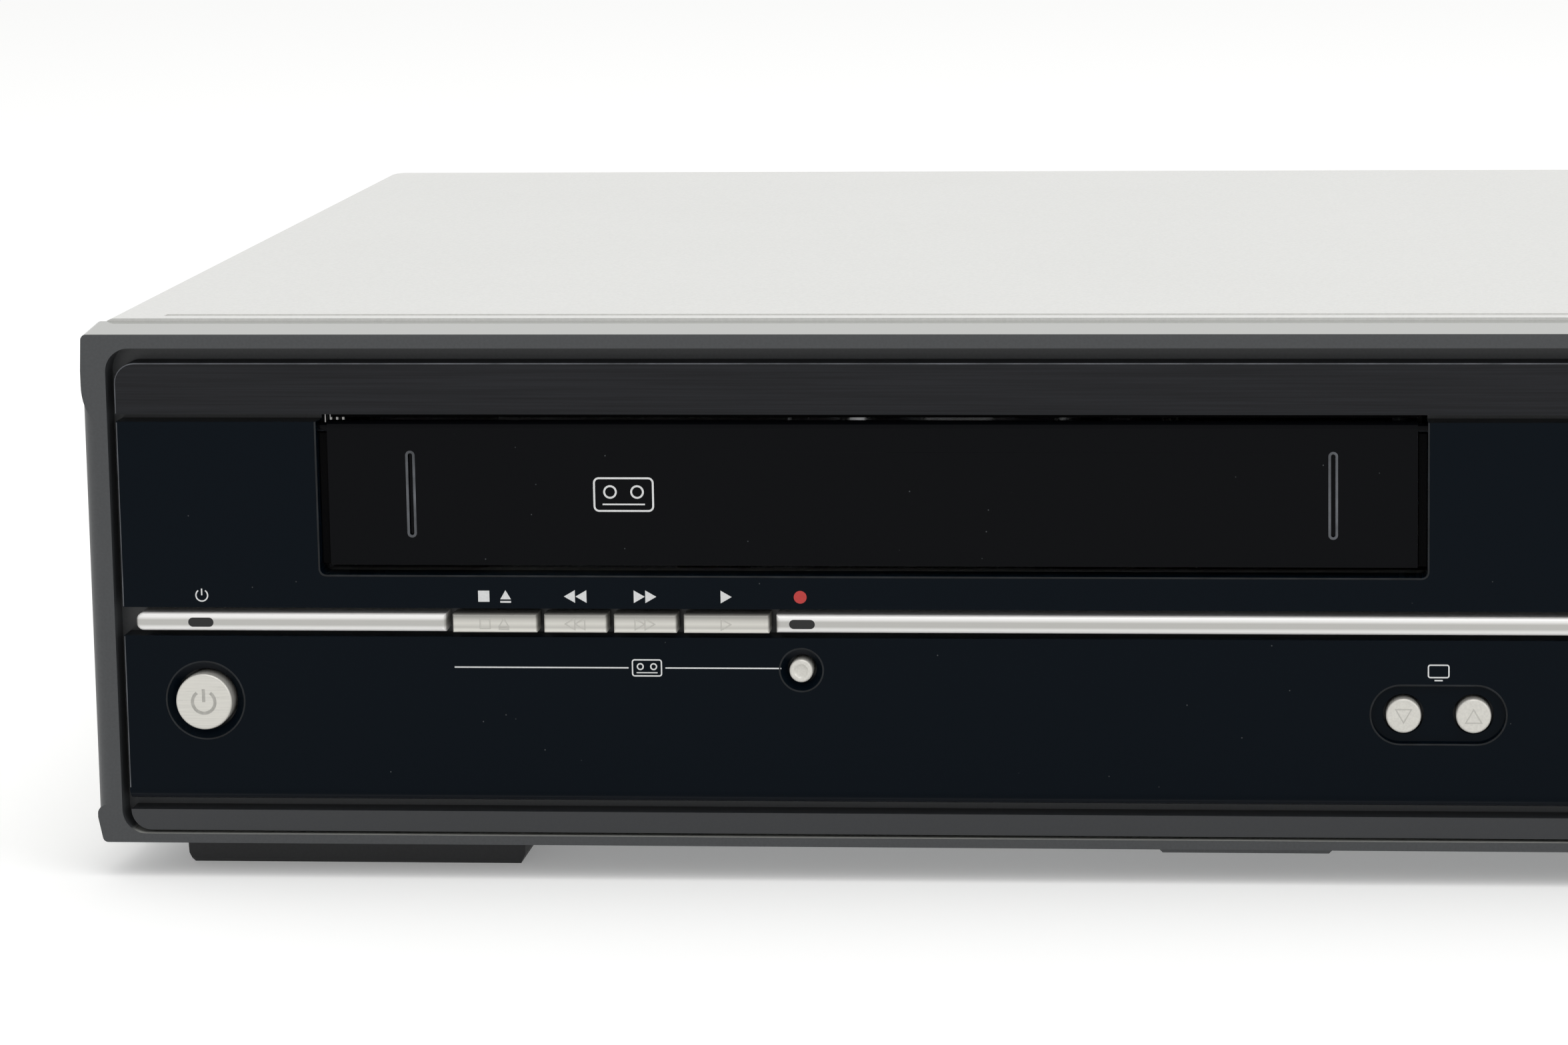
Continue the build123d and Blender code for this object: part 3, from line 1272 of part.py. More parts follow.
def make_clamp():
    """The loose disc clamp that hangs in the bridge."""
    bottom = drive_top - CLAMP_REACH
    upper = drive_top + BRIDGE_PLATE + CLAMP_CLEARANCE
    clamp = upright(disc_x, disc_y, bottom, CLAMP_RADIUS, CLAMP_FLANGE)
    clamp += upright(disc_x, disc_y, bottom, CLAMP_NECK, upper - bottom + CLAMP_FLANGE / 2)
    return clamp + upright(disc_x, disc_y, upper, CLAMP_RADIUS, CLAMP_FLANGE)


def lowered(shape):
    """The traverse's resting place: turned down about its pivot."""
    return Pos(0, pivot_y, pivot_z) * Rot(TILT, 0, 0) * Pos(0, -pivot_y, -pivot_z) * shape


def make_traverse():
    """The tilting frame with the spindle motor's housing."""
    nose = disc_y - TRAVERSE_NOSE
    body = block(disc_x - TRAVERSE_HALF, disc_x + TRAVERSE_HALF, nose, pivot_y, plate_bottom, plate_top)
    body += upright(disc_x, disc_y, plate_bottom - SPINDLE_HEIGHT, SPINDLE_RADIUS, SPINDLE_HEIGHT)
    slot_half = SLED_HALF + SLED_SLACK
    body -= block(disc_x - slot_half, disc_x + slot_half, sled_front - SLED_SLACK,
                  rod_back - ROD_LUG, plate_bottom - PAST, plate_top + PAST)
    for y in (rod_front, rod_back - ROD_LUG):
        for side in (-1, 1):
            x = disc_x + side * ROD_SPREAD
            body += block(x - ROD_LUG_HALF, x + ROD_LUG_HALF, y, y + ROD_LUG, plate_top,
                          rod_z + ROD_RADIUS + ROD_LUG_CROWN)
            body -= inward(x, y - PAST, rod_z, ROD_RADIUS + ROD_FIT, ROD_LUG + 2 * PAST)
    body -= upright(disc_x, disc_y, plate_bottom - SPINDLE_HEIGHT + SPINDLE_SEAT,
                    SPINDLE_SHAFT + ROD_FIT, SPINDLE_HEIGHT + TRAVERSE_PLATE)
    pin = PIVOT_REACH + PIVOT_ROOT
    body += across(disc_x - TRAVERSE_HALF - PIVOT_REACH, pivot_y, pivot_z, PIVOT_RADIUS, pin)
    body += across(disc_x + TRAVERSE_HALF - PIVOT_ROOT, pivot_y, pivot_z, PIVOT_RADIUS, pin)
    return body


def make_turntable():
    """The disc table with its centring cone and shaft."""
    bottom = turntable_top - TURNTABLE_THICKNESS
    shaft_bottom = plate_bottom - SPINDLE_HEIGHT + SPINDLE_SEAT + SPINDLE_PLAY
    table = upright(disc_x, disc_y, bottom, TURNTABLE_RADIUS, TURNTABLE_THICKNESS)
    table += upright(disc_x, disc_y, shaft_bottom, SPINDLE_SHAFT, bottom - shaft_bottom + PAST)
    cone = Cone(CONE_RADIUS, CONE_RADIUS * CONE_SHARE, CONE_HEIGHT)
    return table + Pos(disc_x, disc_y, turntable_top + CONE_HEIGHT / 2) * cone


def make_sled():
    """The laser carriage on its two rods."""
    low = rod_z - SLED_HEIGHT / 2
    high = rod_z + SLED_HEIGHT / 2
    back = sled_front + SLED_LENGTH
    body = block(disc_x - SLED_HALF, disc_x + SLED_HALF, sled_front, back, low, high)
    body += block(disc_x - SLED_HEAD_HALF, disc_x + SLED_HEAD_HALF, sled_front + SLED_HEAD_INSET,
                  back - SLED_HEAD_TAIL, high, high + SLED_HEAD_HEIGHT)
    body += upright(disc_x, sled_front + SLED_LENGTH / 2, high, LENS_RADIUS, SLED_HEAD_HEIGHT + LENS_RISE)
    for side in (-1, 1):
        body -= inward(disc_x + side * ROD_SPREAD, sled_front - PAST, rod_z, ROD_RADIUS + ROD_FIT,
                       SLED_LENGTH + 2 * PAST)
    return body


def make_rods():
    """The two steel rods that guide the sled."""
    rods = []
    for side in (-1, 1):
        rods.append(lowered(inward(disc_x + side * ROD_SPREAD, rod_front, rod_z, ROD_RADIUS,
                                   rod_back - rod_front)))
    return group(rods)


# Tape deck

def make_deck_frame():
    """The deck's steel plate with its upright side walls, posts and guides."""
    left = door_centre - deck_half
    right = door_centre + deck_half
    wall_back = basket_back + BASKET_TRAVEL + DECK_WALL_END
    body = block(left, right, deck_front, deck_back, deck_bottom, deck_top)
    for x0 in (left, right - DECK_PLATE):
        body += block(x0, x0 + DECK_PLATE, deck_front, wall_back, deck_top, deck_wall_top)
    for side in (-1, 1):
        x = drum_x + side * REEL_SPACING / 2
        body += upright(x, reel_y, deck_top, POST_RADIUS,
                        REEL_LIFT + REEL_DISC_HEIGHT + REEL_HEIGHT - REEL_POST_DROP)
        body += upright(x, reel_y, deck_top, POST_RADIUS + POST_COLLAR, REEL_LIFT - REEL_SEAT)
        x = drum_x + side * (DRUM_RADIUS + GUIDE_POST_OFFSET[0])
        body += upright(x, drum_y - GUIDE_POST_OFFSET[1], deck_top, GUIDE_POST_RADIUS, GUIDE_POST_HEIGHT)
    body += upright(pinch_x, pinch_y, deck_top, POST_RADIUS, ARM_RISE + ARM_POST_REACH)
    body += upright(drum_x, drum_y, deck_top, DRUM_RADIUS - DRUM_PAD_INSET, DRUM_PAD)
    body -= upright(capstan_x, capstan_y, deck_bottom - PAST, CAPSTAN_RADIUS + PIN_FIT,
                    DECK_PLATE + 2 * PAST)
    return body


def make_basket():
    """The cassette holder: a U floor, two sides, a top clip and its guide pins."""
    left = door_centre - basket_half
    right = door_centre + basket_half
    top = basket_floor + BASKET_HEIGHT
    body = block(left, right, basket_front, basket_front + BASKET_STRIP, basket_floor - BASKET_FLOOR,
                 basket_floor)
    body += block(left, left + BASKET_RAIL, basket_front, basket_back, basket_floor - BASKET_FLOOR,
                  basket_floor)
    body += block(right - BASKET_RAIL, right, basket_front, basket_back, basket_floor - BASKET_FLOOR,
                  basket_floor)
    for x0 in (left, right - BASKET_FLOOR):
        body += block(x0, x0 + BASKET_FLOOR, basket_front, basket_back, basket_floor, top)
    clip = basket_front + BASKET_DEPTH / 2
    body += block(left, right, clip - BASKET_CLIP / 2, clip + BASKET_CLIP / 2, top, top + BASKET_FLOOR)
    pin_y = slider_y + SLIDER_LENGTH / 2
    reach = SLIDER_GAP + SLIDER_PLATE
    body += across(left - reach, pin_y, basket_floor + GUIDE_HEIGHT, GUIDE_PIN, reach + BASKET_FLOOR)
    body += across(right - BASKET_FLOOR, pin_y, basket_floor + GUIDE_HEIGHT, GUIDE_PIN, reach + BASKET_FLOOR)
    return body


def make_slider():
    """The loading carriage: two slotted plates joined by a cross rod."""
    left = door_centre - basket_half - SLIDER_GAP
    right = door_centre + basket_half + SLIDER_GAP
    low = basket_floor + GUIDE_HEIGHT - BASKET_DROP - GUIDE_PIN - SLIDER_DROP
    high = basket_floor + BASKET_HEIGHT + SLIDER_RISE
    middle = slider_y + SLIDER_LENGTH / 2
    half = GUIDE_PIN + GUIDE_SLACK
    slot_low = basket_floor + GUIDE_HEIGHT - BASKET_DROP - half
    slot_high = basket_floor + GUIDE_HEIGHT + half
    body = across(left - SLIDER_PLATE, middle + SLIDER_ROD_OFFSET, high - SLIDER_ROD_DROP, GUIDE_PIN,
                  right - left + 2 * SLIDER_PLATE)
    for x0 in (left - SLIDER_PLATE, right):
        plate = block(x0, x0 + SLIDER_PLATE, slider_y, slider_y + SLIDER_LENGTH, low, high)
        plate -= block(x0 - PAST, x0 + SLIDER_PLATE + PAST, middle - half, middle + half,
                       slot_low, slot_high)
        body += plate
    return body


def make_reel(side):
    """One reel table with its splined hub."""
    x = drum_x + side * REEL_SPACING / 2
    bottom = deck_top + REEL_LIFT
    reel = upright(x, reel_y, bottom, REEL_DISC, REEL_DISC_HEIGHT)
    reel += upright(x, reel_y, bottom, REEL_HUB, REEL_DISC_HEIGHT + REEL_HEIGHT)
    root, tip, wide = REEL_SPLINE
    for i in range(REEL_SPLINES):
        spline = block(REEL_HUB - root, REEL_HUB + tip, -wide / 2, wide / 2, 0,
                       REEL_HEIGHT - REEL_SPLINE_DROP)
        reel += Pos(x, reel_y, bottom + REEL_DISC_HEIGHT) * Rot(0, 0, 360 / REEL_SPLINES * i) * spline
    return reel - upright(x, reel_y, bottom - PAST, POST_RADIUS + PIN_FIT,
                          REEL_HEIGHT + REEL_DISC_HEIGHT + 2 * PAST)


def leaned(shape):
    """Tilt a drum part about the foot of the drum."""
    return Pos(drum_x, drum_y, deck_top + DRUM_RISE) * Rot(-DRUM_TILT, 0, 0) * shape


def make_lower_drum():
    """The fixed half of the head drum."""
    drum = leaned(upright(0, 0, 0, DRUM_RADIUS, DRUM_BASE_HEIGHT))
    half = DRUM_BLOCK_HALF
    drum += block(drum_x - half, drum_x + half, drum_y - half, drum_y + half, deck_top + DRUM_PAD,
                  deck_top + DRUM_RISE + DRUM_BLOCK_TOP)
    return drum - leaned(upright(0, 0, DRUM_SHAFT_SEAT, DRUM_SHAFT + PIN_FIT, DRUM_BASE_HEIGHT))


def make_head_drum():
    """The spinning half of the head drum, on its shaft."""
    base = DRUM_BASE_HEIGHT + DRUM_GAP
    head = upright(0, 0, base, DRUM_RADIUS, DRUM_HEAD_HEIGHT)
    crown = base + DRUM_HEAD_HEIGHT - DRUM_CROWN_DEPTH
    head -= upright(0, 0, crown, DRUM_RADIUS - DRUM_CROWN_WALL, DRUM_CROWN_DEPTH + PAST)
    foot = DRUM_SHAFT_SEAT + DRUM_SHAFT_PLAY
    head += upright(0, 0, foot, DRUM_SHAFT, base + DRUM_HEAD_HEIGHT - foot)
    return leaned(head)


def make_capstan():
    """The capstan shaft with its flywheel."""
    wheel_bottom = deck_bottom - FLYWHEEL_GAP - FLYWHEEL_HEIGHT
    capstan = upright(capstan_x, capstan_y, wheel_bottom, FLYWHEEL_RADIUS, FLYWHEEL_HEIGHT)
    length = deck_top + CAPSTAN_RISE - wheel_bottom
    return capstan + upright(capstan_x, capstan_y, wheel_bottom, CAPSTAN_RADIUS, length)


def pinch_rest():
    """Where the pinch roller stands at rest: swung back from the capstan."""
    away = math.hypot(*PINCH_PIVOT)
    touch = CAPSTAN_RADIUS + PINCH_RADIUS + PINCH_GAP
    cosine = (away ** 2 + PINCH_REACH ** 2 - touch ** 2) / (2 * away * PINCH_REACH)
    towards = math.pi + math.atan2(PINCH_PIVOT[1], PINCH_PIVOT[0])
    angle = towards - math.acos(cosine) - math.radians(PINCH_SWING)
    return pinch_x + PINCH_REACH * math.cos(angle), pinch_y + PINCH_REACH * math.sin(angle)


def make_pinch_arm():
    """The swinging arm with the roller's pin."""
    x, y = pinch_rest()
    bottom = deck_top + ARM_RISE - ARM_THICKNESS
    length = math.hypot(x - pinch_x, y - pinch_y)
    turn = math.degrees(math.atan2(y - pinch_y, x - pinch_x))
    bar = block(0, length, -ARM_HALF, ARM_HALF, 0, ARM_THICKNESS)
    arm = Pos(pinch_x, pinch_y, bottom) * Rot(0, 0, turn) * bar
    arm += upright(pinch_x, pinch_y, deck_top + ARM_LIFT, ARM_BOSS, ARM_RISE + PAST)
    arm += upright(x, y, bottom, ARM_BOSS, ARM_THICKNESS)
    arm += upright(x, y, bottom, POST_RADIUS, ARM_THICKNESS + PINCH_HEIGHT + ROLLER_PIN_REACH)
    return arm - upright(pinch_x, pinch_y, deck_top, POST_RADIUS + PIN_FIT, ARM_RISE + 2 * ARM_POST_REACH)


def make_pinch_roller():
    """The rubber roller on the arm."""
    x, y = pinch_rest()
    bottom = deck_top + ARM_RISE + ROLLER_LIFT
    roller = upright(x, y, bottom, PINCH_RADIUS, PINCH_HEIGHT)
    return roller - upright(x, y, bottom - PAST, POST_RADIUS + PIN_FIT, PINCH_HEIGHT + 2 * PAST)


# Boards and rear sockets

def make_board(left, right, length):
    """A board on its bosses, with clearance round the posts that pass it."""
    body = block(left, right, board_back - length, board_back, board_bottom, board_top)
    tall = BOARD_THICKNESS + 2 * PAST
    for x, y in drive_post_places() + deck_post_places():
        body -= upright(x, y, board_bottom - PAST, DRIVE_POST_RADIUS + POST_CLEARANCE, tall)
    return body


def make_main_board():
    """The signal board with its chips and heat sink."""
    body = make_board(main_left, main_right, MAIN_BOARD_LENGTH)
    front = board_back - MAIN_BOARD_LENGTH
    for x, y, size, height in (PROCESSOR, MEMORY_CHIP, SOUND_CHIP, TAPE_CHIP):
        body += block(main_left + x, main_left + x + size, front + y, front + y + size,
                      board_top, board_top + height)
    x, y, size, height = PROCESSOR
    fin_front = front + y + CHIP_FIN_INSET
    fin_back = front + y + size - CHIP_FIN_INSET
    for i in range(CHIP_FINS):
        left = main_left + x + CHIP_FIN_INSET + i * CHIP_FIN_PITCH
        body += block(left, left + CHIP_FIN, fin_front, fin_back, board_top + height - CHIP_FIN_SEAT,
                      board_top + CHIP_FIN_HEIGHT)
    return body


def make_power_board():
    """The supply board with its transformer, capacitors and heat sink."""
    body = make_board(power_left, power_right, POWER_BOARD_LENGTH)
    for x, y, wide, deep, high in (TRANSFORMER, SINK_PLATE):
        left = power_left + x
        front = board_back - y
        body += block(left, left + wide, front, front + deep, board_top, board_top + high)
    x, y, wide, deep, high = SINK_PLATE
    left = power_left + x + wide - SINK_FIN_SEAT
    for i in range(SINK_FINS):
        front = board_back - y + i * SINK_FIN_PITCH
        body += block(left, left + SINK_FIN_REACH, front, front + SINK_FIN, board_top, board_top + high)
    for x, y, radius, height in (MAINS_CAPACITOR, OUTPUT_CAPACITOR, LEFT_CAPACITOR, RIGHT_CAPACITOR):
        body += upright(power_left + x, board_back - y, board_top, radius, height)
    return body


def make_video_sockets():
    """Two stacked video sockets and one small digital socket."""
    sockets = []
    wide, high, deep = SCART_CAVITY
    back = panel_back + SCART_PROUD
    for level in range(2):
        low = board_top + level * SCART_PITCH
        shell = block(scart_x - SCART_WIDTH / 2, scart_x + SCART_WIDTH / 2, back - SCART_DEPTH, back,
                      low, low + SCART_HEIGHT)
        centre = low + SCART_HEIGHT / 2
        shell -= block(scart_x - wide / 2, scart_x + wide / 2, back - deep, back + PAST,
                       centre - high / 2, centre + high / 2)
        sockets.append(shell)
    bracket = block(scart_x - SCART_WIDTH / 2, scart_x + SCART_WIDTH / 2, back - SCART_DEPTH,
                    panel_front - BRACKET_GAP, board_top + SCART_HEIGHT, board_top + SCART_PITCH)
    pair = sockets[0] + bracket + sockets[1]
    wide, high, deep = HDMI_SIZE
    wall = HDMI_WALL
    rear = panel_back + HDMI_PROUD
    digital = block(hdmi_x - wide / 2, hdmi_x + wide / 2, rear - deep, rear, board_top, board_top + high)
    digital -= block(hdmi_x - wide / 2 + wall, hdmi_x + wide / 2 - wall, panel_back - HDMI_HOLLOW,
                     rear + PAST, board_top + wall, board_top + high - wall)
    wide, high, deep = HDMI_TONGUE
    tip = panel_back - HDMI_TONGUE_DROP
    low = board_top + HDMI_TONGUE_RISE
    digital += block(hdmi_x - wide / 2, hdmi_x + wide / 2, tip - deep, tip, low, low + high)
    return group([pair, digital])


def make_phono_sockets():
    """The block of phono sockets fixed to the rear panel."""
    half_width = PHONO_COLUMNS * PHONO_PITCH / 2
    half_height = PHONO_ROWS * PHONO_PITCH / 2
    body = block(phono_x - half_width, phono_x + half_width, panel_front - PHONO_DEPTH, panel_front,
                 PHONO_Z - half_height, PHONO_Z + half_height)
    for x, z in phono_places():
        body += inward(x, panel_front - PAST, z, PHONO_RADIUS, PANEL_PLATE + PHONO_REACH + PAST)
    bore = PHONO_DEPTH + PANEL_PLATE + PHONO_REACH
    for x, z in phono_places():
        body -= inward(x, panel_front - PHONO_DEPTH + PHONO_BASE, z, PHONO_BORE, bore)
    return body


def make_aerial_unit():
    """The tuner's metal can with its two aerial sockets."""
    wide, deep, high = AERIAL_CAN
    body = block(aerial_x - wide / 2, aerial_x + wide / 2, panel_front - deep, panel_front,
                 board_top, board_top + high)
    for z in AERIAL_Z:
        body += inward(aerial_x, panel_front - PAST, z, AERIAL_RADIUS, PANEL_PLATE + PHONO_REACH + PAST)
    for z in AERIAL_Z:
        body -= inward(aerial_x, panel_back, z, AERIAL_BORE, PHONO_REACH + PAST)
        body += inward(aerial_x, panel_front, z, AERIAL_PIN, PHONO_REACH - AERIAL_PIN_DROP)
    return body


def make_inlet():
    """The two-pin mains inlet."""
    wide, high, deep = INLET_SIZE
    back = panel_back + SCART_PROUD
    body = block(inlet_x - wide / 2, inlet_x + wide / 2, back - deep, back, INLET_Z - high / 2,
                 INLET_Z + high / 2)
    cavity_wide, cavity_high, cavity_deep = INLET_CAVITY
    outline = Pos(inlet_x, INLET_Z) * SlotOverall(cavity_wide, cavity_high)
    body -= front_shape(outline, back - cavity_deep, back + PAST)
    for side in (-1, 1):
        body += inward(inlet_x + side * INLET_PIN_SPACING / 2, back - cavity_deep - PAST, INLET_Z,
                       INLET_PIN, cavity_deep - PAST)
    flange = wide / 2 + INLET_FLANGE
    body += block(inlet_x - flange, inlet_x + flange, panel_front - INLET_LIP, panel_front,
                  INLET_Z - high / 2 - INLET_FLANGE, INLET_Z - high / 2)
    post = INLET_POST
    return body + block(inlet_x - post / 2, inlet_x + post / 2, back - deep, back - deep + post, board_top,
                        INLET_Z - high / 2)


def make_fan_housing():
    """The fan's square frame with its round bore and three struts."""
    half = FAN_SIZE / 2
    front = panel_front - FAN_DEPTH
    body = block(fan_x - half, fan_x + half, front, panel_front, FAN_Z - half, FAN_Z + half)
    body -= inward(fan_x, front - PAST, FAN_Z, FAN_BORE, FAN_DEPTH + 2 * PAST)
    for i in range(FAN_STRUTS):
        strut = block(0, (FAN_BORE + half) / 2, front, front + FAN_PLATE, -FAN_STRUT_HALF, FAN_STRUT_HALF)
        body += Pos(fan_x, 0, FAN_Z) * Rot(0, 90 + 360 / FAN_STRUTS * i, 0) * strut
    body += inward(fan_x, front, FAN_Z, FAN_HUB, FAN_PLATE)
    return body + inward(fan_x, front, FAN_Z, POST_RADIUS, FAN_DEPTH - FAN_POST_DROP)


def make_fan_rotor():
    """The fan's hub and blades."""
    front = panel_front - FAN_DEPTH + FAN_PLATE + FAN_PLAY
    deep = FAN_DEPTH - FAN_PLATE - FAN_PLAY - FAN_TAIL
    root = FAN_HUB - FAN_BLADE_ROOT
    length = FAN_TIP - root
    thick, wide = FAN_BLADE
    rotor = inward(fan_x, front, FAN_Z, FAN_HUB, deep)
    for i in range(FAN_BLADES):
        blade = Rot(FAN_BLADE_TILT, 0, 0) * Box(length, thick, wide)
        blade = Pos(root + length / 2, front + deep / 2, 0) * blade
        rotor += Pos(fan_x, 0, FAN_Z) * Rot(0, 360 / FAN_BLADES * i, 0) * blade
    return rotor - inward(fan_x, front - PAST, FAN_Z, POST_RADIUS + PIN_FIT, FAN_DEPTH)


save("front_frame", make_front_frame())
save("top_cover", make_top_cover())
save("bottom_chassis", make_chassis())
save("rear_panel", make_rear_panel())
save("cover_screws", make_screws())
save("front_feet", group([make_front_foot(-1), make_front_foot(1)]))
save("rear_feet", make_rear_feet())
save("brow_panel", make_brow())
save("upper_fascia", make_upper_fascia())
save("lower_fascia", make_lower_fascia())
save("bottom_trim", make_bottom_trim())
save("trim_bar_left", make_bar(-bar_end, -key_start - KEY_GAP))
save("trim_bar_centre", make_bar(-keys_inner_end + KEY_GAP, keys_inner_end - KEY_GAP))
save("trim_bar_right", make_bar(key_start + KEY_GAP, bar_end))
save("indicator_lenses", make_lenses())
for name, place in zip(left_key_names, key_places()):
    save(name, make_key(-place[1], -place[0]))
for name, place in zip(right_key_names, key_places()):
    save(name, make_key(place[0], place[1]))
for name, values in round_buttons.items():
    save(name, make_round_button(*values))
save("cassette_door", make_door())
save("display_window", make_window())
save("control_board", make_control_board())
save("front_sockets", make_front_sockets())
save("disc_tray", make_tray())
save("tray_front", make_tray_front())
save("tray_gear", make_tray_gear())
save("drive_base", make_drive_base())
save("clamp_bridge", make_bridge())
save("disc_clamp", make_clamp())
save("traverse_frame", lowered(make_traverse()))
save("turntable", lowered(make_turntable()))
save("laser_sled", lowered(make_sled()))
save("guide_rods", make_rods())
save("deck_frame", make_deck_frame())
save("cassette_basket", make_basket())
save("basket_slider", make_slider())
save("supply_reel", make_reel(-1))
save("takeup_reel", make_reel(1))
save("lower_drum", make_lower_drum())
save("head_drum", make_head_drum())
save("capstan", make_capstan())
save("pinch_arm", make_pinch_arm())
save("pinch_roller", make_pinch_roller())
save("main_board", make_main_board())
save("power_board", make_power_board())
save("video_sockets", make_video_sockets())
save("phono_sockets", make_phono_sockets())
save("aerial_unit", make_aerial_unit())
save("mains_inlet", make_inlet())
save("fan_housing", make_fan_housing())
save("fan_rotor", make_fan_rotor())
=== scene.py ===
import math

import bmesh
import bpy
from bpy.props import FloatProperty, FloatVectorProperty, PointerProperty
from mathutils import Matrix, Vector


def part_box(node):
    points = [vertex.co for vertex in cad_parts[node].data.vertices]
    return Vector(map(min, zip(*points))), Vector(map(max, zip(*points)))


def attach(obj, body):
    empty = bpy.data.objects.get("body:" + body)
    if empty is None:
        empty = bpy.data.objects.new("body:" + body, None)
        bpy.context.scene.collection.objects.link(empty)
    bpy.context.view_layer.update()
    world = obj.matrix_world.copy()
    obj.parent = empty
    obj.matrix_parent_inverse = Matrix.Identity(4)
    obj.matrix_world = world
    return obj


bl_info = {
    "name": "Disc and Tape Recorder",
    "version": (1, 0, 0),
    "blender": (4, 5, 0),
    "location": "3D View > Sidebar > Recorder",
    "description": "Finishes, printed marks and small parts of a disc and tape recorder",
    "category": "Object",
}

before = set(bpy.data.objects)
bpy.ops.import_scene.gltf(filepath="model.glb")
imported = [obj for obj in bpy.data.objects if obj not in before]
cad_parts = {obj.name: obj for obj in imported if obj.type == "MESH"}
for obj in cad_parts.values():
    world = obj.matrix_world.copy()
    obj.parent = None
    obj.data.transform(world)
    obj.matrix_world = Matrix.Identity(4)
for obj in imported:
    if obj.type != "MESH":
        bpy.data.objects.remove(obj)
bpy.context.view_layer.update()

MM = 0.001


def linear(code):
    """An sRGB hex colour as linear red, green and blue."""
    values = [int(code[i : i + 2], 16) / 255 for i in (0, 2, 4)]
    return tuple(v / 12.92 if v <= 0.04045 else ((v + 0.055) / 1.055) ** 2.4 for v in values)


def colour_property(label, note, code):
    """A colour that the user can change."""
    return FloatVectorProperty(
        name=label, description=note, default=linear(code), min=0.0, max=1.0, size=3, subtype="COLOR"
    )


def length_property(label, note, millimetres):
    """A size that the user can change, given in millimetres."""
    settings = {"unit": "LENGTH", "subtype": "DISTANCE", "precision": 5}
    return FloatProperty(name=label, description=note, default=millimetres * MM, min=0.0, **settings)


class RecorderColours(bpy.types.PropertyGroup):
    silver_paint: colour_property("Cover paint", "Sprayed paint of the sheet steel cover", "D7D7D4")
    silver_lacquer: colour_property("Key lacquer", "Lacquer of the keys and buttons", "D3D1CA")
    # Painted highlights: the bars' grey face and bright edge colours stand for light on their rounded edges
    bar_face: colour_property("Bar face", "Flat face of the silver bars", "BBBAB6")
    bar_highlight: colour_property("Bar edge", "Rounded edges of the silver bars", "F1F0EE")
    charcoal: colour_property("Frame moulding", "Moulded frame round the front", "3A3C3E")
    # Painted reflection: this grey stands for the bright room mirrored in the frame's upward faces
    frame_top_sheen: colour_property("Frame top", "Upper edge of the frame, sprayed to meet the cover", "A2A39F")
    brow: colour_property("Brow panel", "Hairline band above the door", "1B1C1F")
    gloss_black: colour_property("Panels", "Polished panels", "040C14")
    door_black: colour_property("Door", "Polished door and tray front", "07080B")
    trim_grey: colour_property("Lower trim", "Strip below the panels", "25272A")
    ink: colour_property("White ink", "Printed marks", "DADBDB")
    record_ink: colour_property("Red ink", "Printed record mark", "B8322F")


class RecorderSizes(bpy.types.PropertyGroup):
    ink_thickness: length_property("Ink thickness", "How far printed marks stand off the panel", 0.03)
    mark_height: length_property("Mark height", "Height of the printed marks above the keys", 2.3)
    line_width: length_property("Line width", "Width of the printed lines", 0.24)
    emboss_height: length_property("Emboss height", "How far the symbols stand off the keys", 0.06)
    emboss_width: length_property("Emboss width", "Width of the symbols' outlines", 0.22)


# Shaders

NOISE = "ShaderNodeTexNoise"
CELLS = "ShaderNodeTexVoronoi"
EVEN = (1.0, 1.0, 1.0)
LEVEL = (40.0, 1.0, 1.0)
MIDDLE_SPAN = (0.35, 0.65)
WIDE_SPAN = (0.3, 0.7)


def add_node(tree, kind, values=None, links=None, **settings):
    """Add one node with its socket values, its input links and its settings."""
    node = tree.nodes.new(kind)
    for name, value in settings.items():
        setattr(node, name, value)
    for name, value in (values or {}).items():
        live_socket(node.inputs, name).default_value = value
    for name, source in (links or {}).items():
        tree.links.new(source, live_socket(node.inputs, name))
    return node


def live_socket(sockets, name):
    """The socket of that name or number that the node's settings leave in use."""
    if isinstance(name, int):
        return sockets[name]
    return next(socket for socket in sockets if socket.name == name and socket.enabled)


def new_material(name, colour, roughness, **sockets):
    """A material with one principled shader, and the tree and shader to build on."""
    material = bpy.data.materials.new(name)
    material.use_nodes = True
    tree = material.node_tree
    shader = tree.nodes["Principled BSDF"]
    shader.inputs["Base Color"].default_value = (*colour, 1.0)
    shader.inputs["Roughness"].default_value = roughness
    for socket, value in sockets.items():
        shader.inputs[socket.replace("_", " ")].default_value = value
    return material, tree, shader


def grain(tree, size, stretch=EVEN, detail=2.0, kind=NOISE, **settings):
    """A pattern whose grains are about that many millimetres across, drawn out along an axis by stretch."""
    place = add_node(tree, "ShaderNodeTexCoord")
    scale = tuple(1.0 / s for s in stretch)
    mapping = add_node(tree, "ShaderNodeMapping", {"Scale": scale}, {"Vector": place.outputs["Object"]})
    values = {"Scale": 1.0 / (size * MM)}
    if kind == NOISE:
        values["Detail"] = detail
    source = add_node(tree, kind, values, {"Vector": mapping.outputs["Vector"]}, **settings)
    return source.outputs["Fac" if kind == NOISE else "Distance"]


def colour_ramp(tree, source, low, high, span=MIDDLE_SPAN):
    """A colour that runs from low to high while a pattern runs through a span."""
    ramp = add_node(tree, "ShaderNodeValToRGB", links={"Fac": source})
    for element, position, colour in zip(ramp.color_ramp.elements, span, (low, high)):
        element.position = position
        element.color = (*colour, 1.0)
    return ramp.outputs["Color"]


def vary_colour(tree, shader, source, low, high, span=MIDDLE_SPAN):
    """The base colour runs from low to high with a pattern."""
    tree.links.new(colour_ramp(tree, source, low, high, span), shader.inputs["Base Color"])


def blend_colour(tree, shader, share, under, over):
    """The base colour turns from a pattern's colour to a plain one."""
    links = {"Factor": share, "A": under}
    mix = add_node(tree, "ShaderNodeMix", {"B": (*over, 1.0)}, links, data_type="RGBA")
    tree.links.new(live_socket(mix.outputs, "Result"), shader.inputs["Base Color"])


